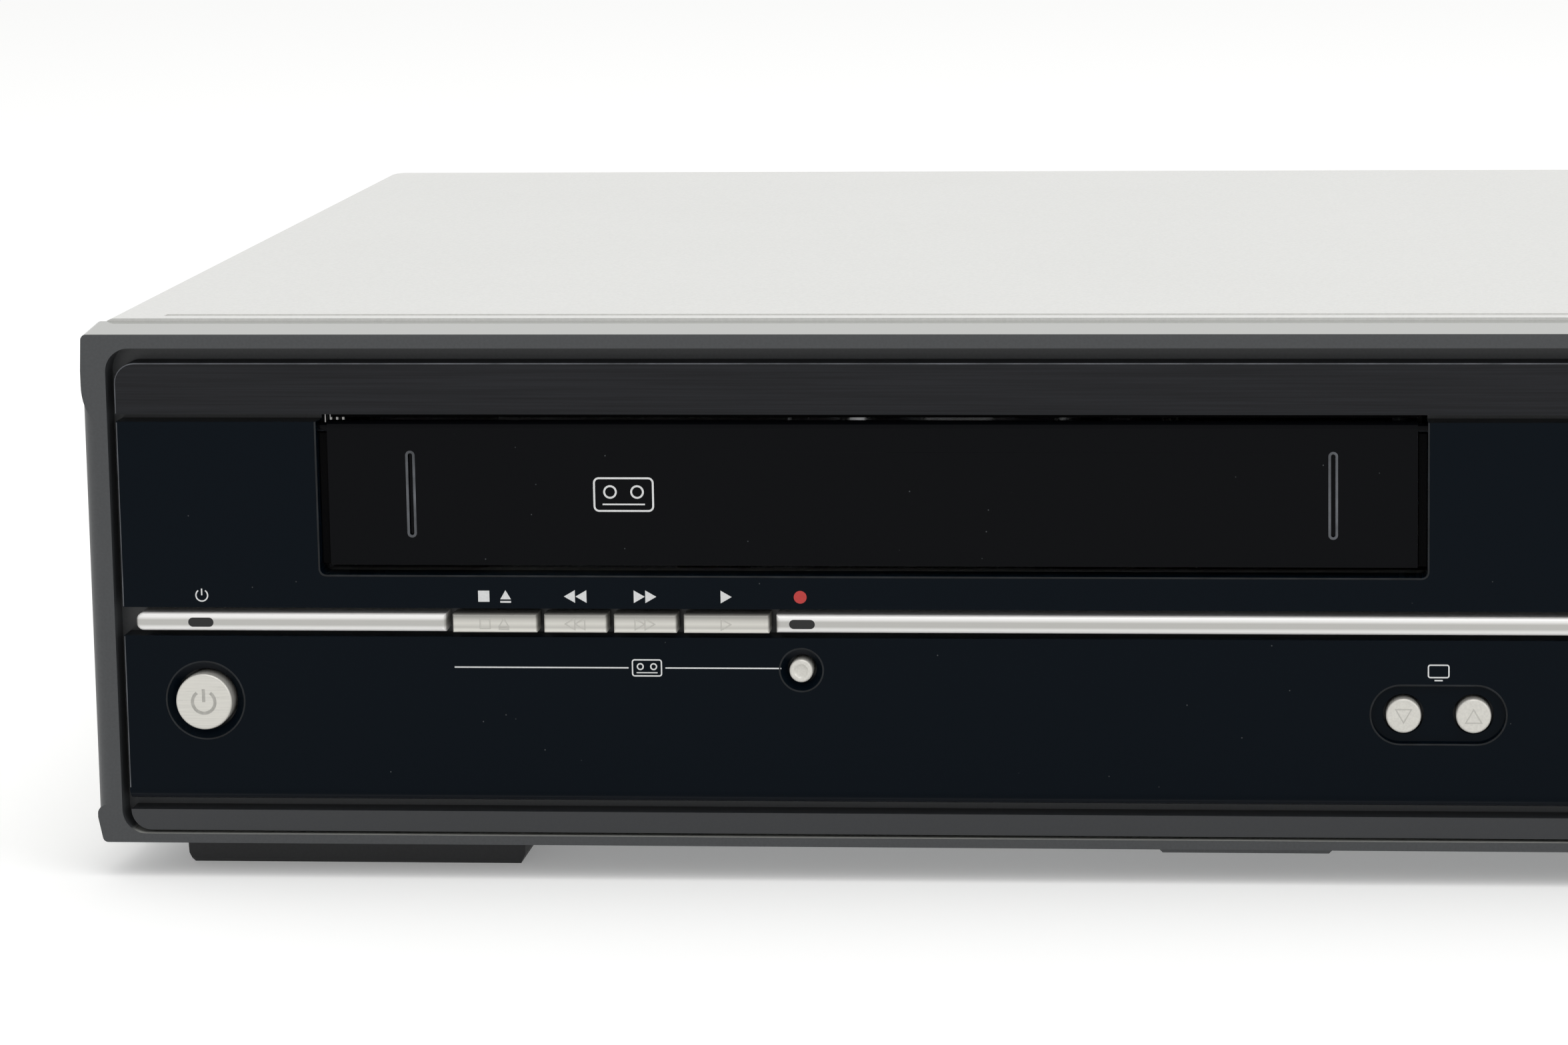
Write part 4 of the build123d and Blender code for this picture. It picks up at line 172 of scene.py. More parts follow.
def spread(tree, source, low, high, start=0.0, end=1.0):
    """A value that runs from low to high while the source runs from start to end."""
    values = {"From Min": start, "From Max": end, "To Min": low, "To Max": high}
    return add_node(tree, "ShaderNodeMapRange", values, {"Value": source}).outputs["Result"]


def turned_towards(tree, axis, sign, start, end):
    """Nought to one, as the surface turns to face along an axis of the room."""
    surface = add_node(tree, "ShaderNodeNewGeometry")
    parts = add_node(tree, "ShaderNodeSeparateXYZ", links={"Vector": surface.outputs["Normal"]})
    return spread(tree, parts.outputs[axis], 0.0, 1.0, sign * start, sign * end)


def height_share(tree, node, low, high):
    """A value that runs from low to high over the height of a CAD node."""
    bottom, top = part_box(node)
    place = add_node(tree, "ShaderNodeTexCoord")
    parts = add_node(tree, "ShaderNodeSeparateXYZ", links={"Vector": place.outputs["Object"]})
    return spread(tree, parts.outputs["Z"], low, high, bottom.z, top.z)


def vary_roughness(tree, shader, source, low, high):
    """The roughness runs from low to high with a pattern."""
    tree.links.new(spread(tree, source, low, high), shader.inputs["Roughness"])


def add_bump(tree, shader, source, strength, depth):
    """A relief of that depth in millimetres."""
    values = {"Strength": strength, "Distance": depth * MM}
    bump = add_node(tree, "ShaderNodeBump", values, {"Height": source})
    tree.links.new(bump.outputs["Normal"], shader.inputs["Normal"])
    return bump


def shade(colour, factor):
    """A colour made darker or lighter."""
    return tuple(min(1.0, c * factor) for c in colour)


def add_streaks(tree, shader):
    """The fine level streaks that are brushed in under the lacquer."""
    add_bump(tree, shader, grain(tree, 0.3, LEVEL), strength=0.05, depth=0.01)


def make_silver_paint(colours):
    """Satin silver paint sprayed on sheet steel: fine metal flake under a soft, slightly rippled film."""
    base = tuple(colours.silver_paint)
    sockets = {"Metallic": 0.1, "Specular_IOR_Level": 0.3}
    material, tree, shader = new_material("Sprayed satin silver paint", base, roughness=0.42, **sockets)
    vary_colour(tree, shader, grain(tree, 0.6, detail=3.0), shade(base, 0.96), shade(base, 1.03))
    add_bump(tree, shader, grain(tree, 2.2, detail=1.0), strength=0.10, depth=0.02)
    vary_roughness(tree, shader, grain(tree, 55.0), low=0.36, high=0.46)
    return material


def make_charcoal_plastic(colours):
    """Moulded ABS: fine matt charcoal in front, and on top, where it meets the cover, a lighter grey that is
    a painted reflection.
    """
    base = tuple(colours.charcoal)
    material, tree, shader = new_material("Moulded charcoal ABS", base, roughness=0.40)
    texture = grain(tree, 0.5, detail=3.0)
    mould = colour_ramp(tree, texture, shade(base, 0.92), shade(base, 1.08))
    # Painted reflection: upward faces take the lighter frame top grey, and grow glossier
    painted_top_sheen = turned_towards(tree, "Z", 1.0, start=0.75, end=0.95)
    blend_colour(tree, shader, painted_top_sheen, mould, tuple(colours.frame_top_sheen))
    vary_roughness(tree, shader, painted_top_sheen, low=0.40, high=0.08)
    bump = add_bump(tree, shader, texture, strength=0.12, depth=0.03)
    tree.links.new(spread(tree, painted_top_sheen, low=0.12, high=0.0), bump.inputs["Strength"])
    return material


def polished_black(name, base):
    """Polished acrylic: sharp reflections, a little haze, specks of dust, and a paler grey where it rolls
    under, a painted reflection.
    """
    material, tree, shader = new_material(name, base, roughness=0.07, Specular_IOR_Level=0.055)
    speck = shade(linear("6C7073"), 0.5)
    dusty = colour_ramp(tree, grain(tree, 5.0, kind=CELLS), speck, base, span=(0.012, 0.03))
    # Painted reflection: faces that turn downwards, where the panel rolls under, take a paler grey
    under = turned_towards(tree, "Z", -1.0, start=0.4, end=0.9)
    blend_colour(tree, shader, under, dusty, linear("2A2C30"))
    vary_roughness(tree, shader, grain(tree, 38.0, detail=4.0), low=0.04, high=0.12)
    add_bump(tree, shader, grain(tree, 60.0, detail=1.0), strength=0.25, depth=0.08)
    return material


def make_gloss_black(colours):
    """The panels' acrylic, with a blue cast."""
    return polished_black("Polished black acrylic", tuple(colours.gloss_black))


def make_door_black(colours):
    """The door's acrylic, moulded apart from the panels and a more neutral black."""
    return polished_black("Polished black acrylic door", tuple(colours.door_black))


def make_bar_lacquer(colours):
    """Silver lacquer on the long bars: painted highlights along both edges, and greyer between them."""
    face = tuple(colours.bar_face)
    material, tree, shader = new_material("Silver lacquered bar", face, roughness=0.30, Metallic=0.2)
    # Painted highlights: the colour turns bright towards the top and bottom of the bar
    across = height_share(tree, "trim_bar_centre", low=-1.0, high=1.0)
    away = add_node(tree, "ShaderNodeMath", links={0: across}, operation="ABSOLUTE").outputs[0]
    vary_colour(tree, shader, away, face, tuple(colours.bar_highlight), span=(0.25, 0.6))
    add_streaks(tree, shader)
    return material


# How far up the key each band of painted light and shade lies, and how light the key is painted there
KEY_PAINTED_BANDS = ((0.0, 1.3), (0.12, 1.25), (0.3, 0.78), (0.52, 1.02), (0.72, 0.8), (0.88, 0.5), (1.0, 0.42))


def make_key_lacquer(colours):
    """Silver lacquer on the flat keys, painted in level bands of light and shade: pale at the foot and dull
    on top.
    """
    base = tuple(colours.silver_lacquer)
    material, tree, shader = new_material("Silver lacquered key", base, roughness=0.30, Metallic=0.3)
    # Painted light and shade, in level bands up the key
    height = height_share(tree, "play_key", low=0.0, high=1.0)
    ramp = add_node(tree, "ShaderNodeValToRGB", links={"Fac": height})
    for position, _ in KEY_PAINTED_BANDS[1:-1]:
        ramp.color_ramp.elements.new(position)
    for element, (_, share) in zip(ramp.color_ramp.elements, KEY_PAINTED_BANDS):
        element.color = (*shade(base, share), 1.0)
    tree.links.new(ramp.outputs["Color"], shader.inputs["Base Color"])
    add_streaks(tree, shader)
    return material


def make_sign_lacquer(colours):
    """The same lacquer on the raised outlines: dull, with painted shade on their flanks, so that they read.
    """
    base = tuple(colours.silver_lacquer)
    material, tree, shader = new_material("Silver lacquered relief", base, roughness=0.30, Metallic=0.3)
    # Painted shade: the flanks, turned away from the front, are darker than the crown
    crown = turned_towards(tree, "Y", -1.0, start=0.35, end=0.95)
    vary_colour(tree, shader, crown, shade(base, 0.35), shade(base, 0.8), span=(0.2, 0.9))
    return material


def make_circuit_board(colours):
    """Phenolic board under green solder mask: tracks show as slightly lighter raised bands."""
    base = linear("1E4A2C")
    material, tree, shader = new_material("Solder masked board", base, roughness=0.34)
    tracks = grain(tree, 5.0, stretch=(1.0, 6.0, 1.0), kind=CELLS, distance="CHEBYCHEV")
    vary_colour(tree, shader, tracks, shade(base, 0.8), linear("2F6B3F"), span=(0.3, 0.45))
    add_bump(tree, shader, tracks, strength=0.2, depth=0.04)
    return material


def make_patterned(
    base, name, rough, pattern, shades=(), span=MIDDLE_SPAN, fine=None, sheen=(), relief=(), **sockets
):
    """A material whose pattern may shade its colour, vary its roughness and stand out in relief."""
    material, tree, shader = new_material(name, base, rough, **sockets)
    source = grain(tree, *pattern)
    if shades:
        low, high = (linear(tone) if isinstance(tone, str) else shade(base, tone) for tone in shades)
        vary_colour(tree, shader, source, low, high, span)
    if fine:
        source = grain(tree, *fine)
    if sheen:
        vary_roughness(tree, shader, source, *sheen)
    if relief:
        add_bump(tree, shader, source, *relief)
    return material


BUILT_FINISHES = {
    "silver_paint": make_silver_paint,
    "charcoal_plastic": make_charcoal_plastic,
    "gloss_black": make_gloss_black,
    "door_black": make_door_black,
    "bar_lacquer": make_bar_lacquer,
    "key_lacquer": make_key_lacquer,
    "sign_lacquer": make_sign_lacquer,
    "circuit_board": make_circuit_board,
}

# A colour that the user can change, or a hex code, and then what make_patterned takes. A pattern has a size
# in millimetres, a stretch along each axis and its detail, and fine is a second one for sheen and relief.
# Shades are shares of the colour, or hex codes. Sheen is a range of roughness, relief a strength and a depth.
PATTERNED_FINISHES = {
    # Plastic rolled with a hairline film: near-black with fine streaks along the machine
    "hairline_plastic": ("brow", dict(
        name="Hairline rolled polystyrene", rough=0.42, pattern=(0.35, (90.0, 1.0, 1.0), 4.0),
        shades=(0.72, 1.32), span=WIDE_SPAN, relief=(0.10, 0.02), Specular_IOR_Level=0.15,
    )),
    # Satin moulded strip: dark grey with a low sheen
    "grey_trim": ("trim_grey", dict(
        name="Satin grey ABS", rough=0.38, pattern=(0.5,), shades=(0.95, 1.05), relief=(0.08, 0.02),
    )),
    # ABS lacquered in silver: bright metal flake with a smooth satin film
    "silver_plastic": ("silver_lacquer", dict(
        name="Silver lacquered ABS", rough=0.30, pattern=(0.35,), shades=(0.94, 1.05), sheen=(0.26, 0.34),
        relief=(0.06, 0.01), Metallic=0.35,
    )),
    # Silver lacquer over a brushed cap: fine level streaks that are a little lighter and darker
    "brushed_lacquer": ("silver_lacquer", dict(
        name="Brushed silver cap", rough=0.30, pattern=(0.22, (30.0, 1.0, 1.0), 3.0), shades=(0.93, 1.06),
        span=WIDE_SPAN, sheen=(0.24, 0.36), relief=(0.05, 0.01), Metallic=0.4,
    )),
    # The standby sign on the brushed cap: its film is matt, and its darker grey is painted shade of its
    # moulded outline
    "standby_sign": ("silver_lacquer", dict(
        name="Matt lacquered sign", rough=0.45, pattern=(0.8, EVEN, 3.0), shades=(0.558, 0.6944),
        Metallic=0.2,
    )),
    # Electro-zinc plated sheet: cool light grey with a faint rolled grain and a barely patchy film
    "zinc_steel": ("ADB0B2", dict(
        name="Zinc plated sheet steel", rough=0.38, pattern=(9.0, (3.0, 1.0, 1.0), 4.0),
        shades=(0.96, 1.04), span=WIDE_SPAN, fine=(0.5, LEVEL), sheen=(0.30, 0.44), relief=(0.08, 0.01),
        Metallic=0.85,
    )),
    # Moulded acetal: milky white, slightly waxy and a touch translucent at thin edges
    "pale_plastic": ("E6E3DA", dict(
        name="Natural acetal", rough=0.38, pattern=(8.0,), shades=(0.96, 1.02), fine=(0.9,),
        relief=(0.05, 0.02), Subsurface_Weight=0.08, Subsurface_Scale=0.002,
    )),
    # Moulded nitrile rubber: dead matt and slightly dusty
    "black_rubber": ("191919", dict(
        name="Nitrile rubber", rough=0.8, pattern=(3.0, EVEN, 5.0), shades=(1.0, "2A2A29"), span=(0.4, 0.8),
        fine=(0.5,), relief=(0.2, 0.05), Specular_IOR_Level=0.3,
    )),
    # A near-black sheet behind the door's gaps: painted shade where only shade lies, dead matt with a faint
    # fuzzy relief
    "felt": ("0B0B0C", dict(
        name="Black wool felt", rough=0.95, pattern=(0.2, EVEN, 4.0), shades=(0.7, 1.6), relief=(0.5, 0.05),
        Specular_IOR_Level=0.1,
    )),
    # The rounded edges of the polished acrylic: they mirror the room more than its flat face does, and their
    # slightly lighter grey is a painted highlight
    "polished_edge": ("101316", dict(
        name="Polished acrylic edge", rough=0.2, pattern=(4.0, EVEN, 4.0), shades=(1.0, "1D2125"),
        sheen=(0.14, 0.26), Specular_IOR_Level=0.2,
    )),
    # The sharp outer edges of the panels and the grooves' rims: a pale satin line that is a painted highlight
    "worn_edge": ("4A4D52", dict(
        name="Worn acrylic edge", rough=0.3, pattern=(6.0, EVEN, 5.0), shades=("2C2F33", "62656B"),
        span=WIDE_SPAN,
    )),
    # Unlit phosphor behind smoked glass: a dim grey green, only just lighter than the window
    "phosphor": ("252D2B", dict(
        name="Unlit phosphor", rough=0.5, pattern=(0.6,), shades=(0.85, 1.15), Specular_IOR_Level=0.2,
    )),
    # Phosphor bronze contacts with a gold flash: warm and bright with fine stamping lines
    "gilt": ("C8A24C", dict(
        name="Gold flashed bronze", rough=0.25, pattern=(0.3, (1.0, 12.0, 1.0)), shades=(0.92, 1.05),
        sheen=(0.18, 0.34), Metallic=1.0,
    )),
    # Smoked polycarbonate: a nearly black window with a soft, clear reflection
    "smoked_lens": ("0B0C0E", dict(
        name="Smoked polycarbonate", rough=0.06, pattern=(12.0,), shades=(0.85, 1.2), sheen=(0.04, 0.10),
        Specular_IOR_Level=0.3, IOR=1.58,
    )),
    # Nickel plated steel: bright, warm grey, with fine turning marks
    "screw_steel": ("C2C0BB", dict(
        name="Nickel plated steel", rough=0.22, pattern=(0.3,), sheen=(0.16, 0.30), relief=(0.05, 0.01),
        Metallic=1.0,
    )),
    # Diamond turned aluminium: mirror bright with rings round the drum
    "drum_metal": ("D9DADC", dict(
        name="Diamond turned aluminium", rough=0.16, pattern=(0.4, (60.0, 60.0, 1.0), 1.0),
        sheen=(0.10, 0.24), relief=(0.10, 0.01), Metallic=1.0,
    )),
    # Moulded ABS, left matt from a blasted tool: soft black
    "black_plastic": ("1D1E20", dict(
        name="Matt black ABS", rough=0.55, pattern=(0.6, EVEN, 3.0), shades=(0.85, 1.15),
        relief=(0.18, 0.04),
    )),
    # Screen-printed ink: matt and even, with a very slight mottle
    "white_ink": ("ink", dict(name="White screen print", rough=0.55, pattern=(0.4,), shades=(0.95, 1.03))),
    "red_ink": ("record_ink", dict(name="Red screen print", rough=0.55, pattern=(0.4,), shades=(0.95, 1.03))),
}
# Injection moulded polystyrene: clear colour, low gloss and faint flow lines
JACK_PLASTIC = dict(rough=0.32, pattern=(1.6, EVEN, 3.0), shades=(0.9, 1.06), relief=(0.08, 0.02))

KEY_SIGNS = {
    "stop_eject_key": ("stop", "eject"),
    "rewind_key": ("rewind",),
    "forward_key": ("forward",),
    "play_key": ("play",),
    "disc_open_key": ("stop", "eject"),
    "disc_back_key": ("back",),
    "disc_next_key": ("next",),
    "disc_play_key": ("play",),
}
BUTTON_SIGNS = {"channel_down_button": ("down",), "channel_up_button": ("up",)}

# Nodes whose finish isn't the one that their slot names
OWN_FINISHES = {
    "trim_bar_left": "bar_lacquer",
    "trim_bar_centre": "bar_lacquer",
    "trim_bar_right": "bar_lacquer",
    "power_button": "brushed_lacquer",
    "cassette_door": "door_black",
    "tray_front": "door_black",
    **{key: "key_lacquer" for key in KEY_SIGNS},
}

finishes = {}


def finish(name):
    """The material of that name, made once."""
    colours = bpy.context.scene.recorder_colours
    if name not in finishes:
        if name in BUILT_FINISHES:
            finishes[name] = BUILT_FINISHES[name](colours)
        else:
            colour, settings = PATTERNED_FINISHES[name]
            base = tuple(getattr(colours, colour)) if hasattr(colours, colour) else linear(colour)
            finishes[name] = make_patterned(base, **settings)
    return finishes[name]


def node_slots():
    """The record's material slot of each CAD node."""
    slots = {}
    for name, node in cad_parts.items():
        slots[name] = node.data.materials[0].name.split(".")[0] if node.data.materials else "black_plastic"
    return slots


class RECORDER_OT_finishes(bpy.types.Operator):
    """Give every part of the frame its real finish"""

    bl_idname = "recorder.finishes"
    bl_label = "Finishes"

    def execute(self, context):
        for name, slot in node_slots().items():
            material = finish(OWN_FINISHES.get(name, slot))
            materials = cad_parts[name].data.materials
            materials.clear()
            materials.append(material)
        return {"FINISHED"}


# Shapes

SHARP_ANGLE = math.radians(35)
ARCH_STEPS = 6
ARCH_TURNS = [math.pi * i / ARCH_STEPS for i in range(ARCH_STEPS + 1)]
SOFT_EDGE = 0.01 * MM
SUNK = 0.05 * MM
CORNERS = ((-1, -1), (1, -1), (1, 1), (-1, 1))


def add_piece(name, drawings, material, body, smooth=False):
    """A piece that rides on a body. Each drawing is a function and what it takes after the mesh."""
    shape = bmesh.new()
    for draw, *places in drawings:
        draw(shape, *places)
    bmesh.ops.recalc_face_normals(shape, faces=shape.faces)
    mesh = bpy.data.meshes.new(name)
    shape.to_mesh(mesh)
    shape.free()
    if smooth:
        mesh.shade_smooth()
        mesh.set_sharp_from_angle(angle=SHARP_ANGLE)
    mesh.materials.append(material)
    piece = bpy.data.objects.new(name, mesh)
    bpy.context.collection.objects.link(piece)
    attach(piece, body)


def circle(x, z, radius, steps=40, start=0.0, end=2 * math.pi):
    """Points round a circle, or along an arc of it."""
    full = math.isclose(abs(end - start), 2 * math.pi)
    turns = [start + (end - start) * i / steps for i in range(steps if full else steps + 1)]
    return [(x + radius * math.cos(turn), z + radius * math.sin(turn)) for turn in turns]


def corner(x, z, radius, quarter, steps=6):
    """A quarter of a circle, which starts after that many quarter turns."""
    return circle(x, z, radius, steps, quarter * math.pi / 2, (quarter + 1) * math.pi / 2)


def rectangle(x, z, wide, high):
    """The corners of an upright rectangle."""
    return [(x + side * wide / 2, z + rise * high / 2) for side, rise in CORNERS]


def rounded(x, z, wide, high, radius, steps=6):
    """The outline of a rectangle with round corners."""
    points = []
    for quarter, (side, rise) in enumerate(((1, 1), (-1, 1), (-1, -1), (1, -1))):
        across, up = side * (wide / 2 - radius), rise * (high / 2 - radius)
        points += corner(x + across, z + up, radius, quarter, steps)
    return points


def triangle(x, z, size, way):
    """A triangle that points right, up, left or down."""
    turn = {"right": 0.0, "up": math.pi / 2, "left": math.pi, "down": -math.pi / 2}[way]
    cos, sin = math.cos(turn), math.sin(turn)
    tip = TRIANGLE_REACH * size
    corners = ((-tip, -size / 2), (tip, 0.0), (-tip, size / 2))
    return [(x + a * cos - b * sin, z + a * sin + b * cos) for a, b in corners]


def offset(points, distance, closed=True):
    """The same line drawn that far to its right, with mitred corners."""
    moved = []
    count = len(points)
    for i, (x, z) in enumerate(points):
        sides = []
        if closed or i > 0:
            sides.append((points[i - 1], (x, z)))
        if closed or i < count - 1:
            sides.append(((x, z), points[(i + 1) % count]))
        across = Vector((0.0, 0.0))
        for (ax, az), (bx, bz) in sides:
            across += Vector((bz - az, ax - bx)).normalized() / len(sides)
        step = across * distance / across.length_squared
        moved.append((x + step.x, z + step.y))
    return moved


def loop(shape, points, y):
    """Vertices along points, at one depth."""
    return [shape.verts.new((x, y, z)) for x, z in points]


def join_loops(shape, first, second, closed=True):
    """Faces between two loops of vertices."""
    count = len(first)
    for i in range(count if closed else count - 1):
        j = (i + 1) % count
        shape.faces.new((first[i], first[j], second[j], second[i]))


def sweep(shape, points, profile, closed=True):
    """A bar along points, whose section is given as steps to the side and depths."""
    loops = [loop(shape, offset(points, side, closed), y) for side, y in profile]
    for i, first in enumerate(loops):
        join_loops(shape, first, loops[(i + 1) % len(loops)], closed)
    if not closed:
        for end in (0, -1):
            shape.faces.new([verts[end] for verts in loops])


def band(shape, points, width, front, back, closed=True):
    """A flat line of that width along points."""
    half = width / 2
    sweep(shape, points, [(-half, front), (half, front), (half, back), (-half, back)], closed)


def lip(shape, points, width, front, back, closed=True):
    """A line with a round crown along points."""
    half = width / 2
    crown = [(half * math.cos(t), back + (front - back) * math.sin(t)) for t in ARCH_TURNS]
    sweep(shape, points, crown, closed)


def plate(shape, points, front, back, soft):
    """A filled outline whose front edge is drawn in by soft."""
    side = math.copysign(soft, back - front)
    loops = [
        loop(shape, offset(points, -soft), front),
        loop(shape, points, front + side),
        loop(shape, points, back),
    ]
    join_loops(shape, loops[0], loops[1])
    join_loops(shape, loops[1], loops[2])
    shape.faces.new(loops[0])
    shape.faces.new(loops[2])


def spin(shape, x, z, profile):
    """A turned ring round an axis from front to back, from the radii and depths of its section."""
    loops = [loop(shape, circle(x, z, radius), y) for radius, y in profile]
    for i, first in enumerate(loops):
        join_loops(shape, first, loops[(i + 1) % len(loops)])


def stroke(shape, points, width, front, back):
    """A flat line of that width that ends where its points end."""
    band(shape, points, width, front, back, closed=False)


def middle(node):
    """The middle of a CAD node's box at rest."""
    low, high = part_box(node)
    return (low + high) / 2


# Signs, whose proportions are shares of their size

TRIANGLE_REACH = 0.43
STOP_SIDE = 0.88
EJECT_WIDTH = 0.84
EJECT_RISE = 0.12
EJECT_DROP = 0.44
SIGN_BAR = 0.14
TWIN_REACH = 0.45
SKIP_REACH = 1.02
SIGN_SPREAD = 1.7
STANDBY_GAP = math.radians(36)
STANDBY_BAR = 1.15
STANDBY_STEPS = 32


def sign_outlines(sign, x, z, size):
    """The closed outlines that make up one transport sign."""
    if sign in ("up", "down"):
        return [triangle(x, z, size, sign)]
    if sign == "play":
        return [triangle(x, z, size, "right")]
    if sign == "stop":
        return [rectangle(x, z, size * STOP_SIDE, size * STOP_SIDE)]
    if sign == "eject":
        arrow = triangle(x, z + size * EJECT_RISE, size * EJECT_WIDTH, "up")
        return [arrow, rectangle(x, z - size * EJECT_DROP, size * EJECT_WIDTH, size * SIGN_BAR)]
    way, ahead = ("left", -1) if sign in ("rewind", "back") else ("right", 1)
    outlines = [triangle(x + side * size * TWIN_REACH, z, size, way) for side in (-1, 1)]
    if sign in ("back", "next"):
        outlines.append(rectangle(x + ahead * size * SKIP_REACH, z, size * SIGN_BAR, size))
    return outlines


def row_of_signs(signs, x, z, size):
    """The outlines of one sign, or of two side by side."""
    reach = size * SIGN_SPREAD * (len(signs) - 1) / 2
    outlines = []
    for i, sign in enumerate(signs):
        outlines += sign_outlines(sign, x - reach + i * size * SIGN_SPREAD, z, size)
    return outlines


def standby_sign(shape, x, z, radius, width, front, back):
    """A ring that is open at the top, with a bar through the gap."""
    arc = circle(x, z, radius, STANDBY_STEPS, math.pi / 2 + STANDBY_GAP, 5 * math.pi / 2 - STANDBY_GAP)
    stroke(shape, arc, width, front, back)
    stroke(shape, [(x, z), (x, z + radius * STANDBY_BAR)], width, front, back)


# Pictures, whose proportions are shares of their width, or of their height or radius

TAPE_HEIGHT = 0.56
TAPE_CORNER = 0.08
REEL_REACH = 0.23
REEL_RISE = 0.08
REEL_RADIUS = 0.1
FLAP_REACH = 0.36
FLAP_DROP = 0.3
FINE_LINE = 0.8
DISC_RADIUS = 0.29
DISC_HOLE = 0.28
GLINT_RADIUS = 0.66
GLINT_STARTS = (math.pi / 5, math.pi * 6 / 5)
GLINT_LENGTH = math.pi / 5
SCREEN_HEIGHT = 0.62
SCREEN_CORNER = 0.1
FOOT_REACH = 0.2
FOOT_DROP = 0.74
SMALL_STEPS = 24
GLINT_STEPS = 8


def tape_picture(shape, x, z, wide, line, front, back):
    """A small cassette: a rounded case, two reels and the edge of its flap."""
    high = wide * TAPE_HEIGHT
    band(shape, rounded(x, z, wide, high, wide * TAPE_CORNER), line, front, back)
    for side in (-1, 1):
        reel = circle(x + side * wide * REEL_REACH, z + high * REEL_RISE, wide * REEL_RADIUS, SMALL_STEPS)
        band(shape, reel, line, front, back)
    flap = [(x + side * wide * FLAP_REACH, z - high * FLAP_DROP) for side in (-1, 1)]
    stroke(shape, flap, line * FINE_LINE, front, back)


def disc_picture(shape, x, z, wide, line, front, back):
    """A small disc: its rim, its hole and a glint."""
    radius = wide * DISC_RADIUS
    band(shape, circle(x, z, radius), line, front, back)
    band(shape, circle(x, z, radius * DISC_HOLE, SMALL_STEPS), line, front, back)
    for start in GLINT_STARTS:
        glint = circle(x, z, radius * GLINT_RADIUS, GLINT_STEPS, start, start + GLINT_LENGTH)
        stroke(shape, glint, line * FINE_LINE, front, back)


def screen_picture(shape, x, z, wide, line, front, back):
    """A small screen on a foot."""
    high = wide * SCREEN_HEIGHT
    band(shape, rounded(x, z, wide, high, wide * SCREEN_CORNER), line, front, back)
    foot = [(x + side * wide * FOOT_REACH, z - high * FOOT_DROP) for side in (-1, 1)]
    stroke(shape, foot, line, front, back)


# Printed marks

MARK_RISE = 2.2 * MM
LINE_DROP = 5.5 * MM
PICTURE_WIDTH = 5.2 * MM
PICTURE_GAP = 0.7 * MM
PICTURE_SHARE = 0.59
LINE_CLEARANCE = 1.5 * MM
SCREEN_WIDTH = 3.6 * MM
STANDBY_SHARE = 0.46
BADGE_WIDTH = 10.5 * MM
BADGE_LINE = 1.4
DOOR_BADGE = Vector((-120.9, 0.0, 70.0)) * MM


class RECORDER_OT_printed_marks(bpy.types.Operator):
    """Print the plain signs over the keys, the lines under them and the pictures of a tape and a disc"""

    bl_idname = "recorder.printed_marks"
    bl_label = "Printed marks"

    def execute(self, context):
        sizes = context.scene.recorder_sizes
        white = finish("white_ink")
        red = finish("red_ink")
        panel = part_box("upper_fascia")[0]
        front, back = panel.y - sizes.ink_thickness, panel.y + SUNK
        z = panel.z + MARK_RISE
        height = sizes.mark_height
        for node, signs in KEY_SIGNS.items():
            outlines = row_of_signs(signs, middle(node).x, z, height)
            marks = [(plate, points, front, back, SOFT_EDGE) for points in outlines]
            add_piece("mark_over_" + node, marks, white, "root")
        for node in ("tape_record_button", "disc_record_button"):
            dot = (plate, circle(middle(node).x, z, height / 2), front, back, SOFT_EDGE)
            add_piece("mark_over_" + node, [dot], red, "root")
        x = middle("power_button").x
        sign = (standby_sign, x, z, height * STANDBY_SHARE, sizes.line_width, front, back)
        add_piece("mark_over_power_button", [sign], white, "root")
        self.add_lines(sizes, white, front, back)
        self.add_badges(sizes, white)
        return {"FINISHED"}

    def add_lines(self, sizes, white, front, back):
        """A broken line under each group of keys with its picture, and a screen over the channel buttons."""
        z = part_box("lower_fascia")[1].z - LINE_DROP
        gap = PICTURE_WIDTH / 2 + PICTURE_GAP
        groups = (
            ("tape_line", "stop_eject_key", "tape_record_button", tape_picture, 1),
            ("disc_line", "disc_open_key", "disc_record_button", disc_picture, -1),
        )
        for name, key, button, picture, side in groups:
            edge = 0 if side > 0 else 1
            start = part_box(key)[edge].x
            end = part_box(button)[edge].x - side * LINE_CLEARANCE
            x = start + (end - start) * PICTURE_SHARE
            drawings = [
                (stroke, [(start, z), (x - side * gap, z)], sizes.line_width, front, back),
                (stroke, [(x + side * gap, z), (end, z)], sizes.line_width, front, back),
                (picture, x, z, PICTURE_WIDTH, sizes.line_width, front, back),
            ]
            add_piece(name, drawings, white, "root")
        x = (middle("channel_down_button").x + middle("channel_up_button").x) / 2
        screen = (screen_picture, x, z, SCREEN_WIDTH, sizes.line_width, front, back)
        add_piece("mark_over_channel_buttons", [screen], white, "root")

    def add_badges(self, sizes, white):
        """A picture of a tape on the door and of a disc on the tray's front."""
        for name, node, body, picture, place in (
            ("tape_badge", "cassette_door", "door", tape_picture, DOOR_BADGE),
            ("disc_badge", "tray_front", "tray", disc_picture, middle("tray_front")),
        ):
            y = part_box(node)[0].y
            line = sizes.line_width * BADGE_LINE
            badge = (picture, place.x, place.z, BADGE_WIDTH, line, y - sizes.ink_thickness, y + SUNK)
            add_piece(name, [badge], white, body)


# Signs on the keys and buttons

KEY_SIGN_SCALE = 0.86
BUTTON_SIGN_SCALE = 1.2
POWER_SIGN_SHARE = 0.2
POWER_SIGN_WEIGHT = 2.6


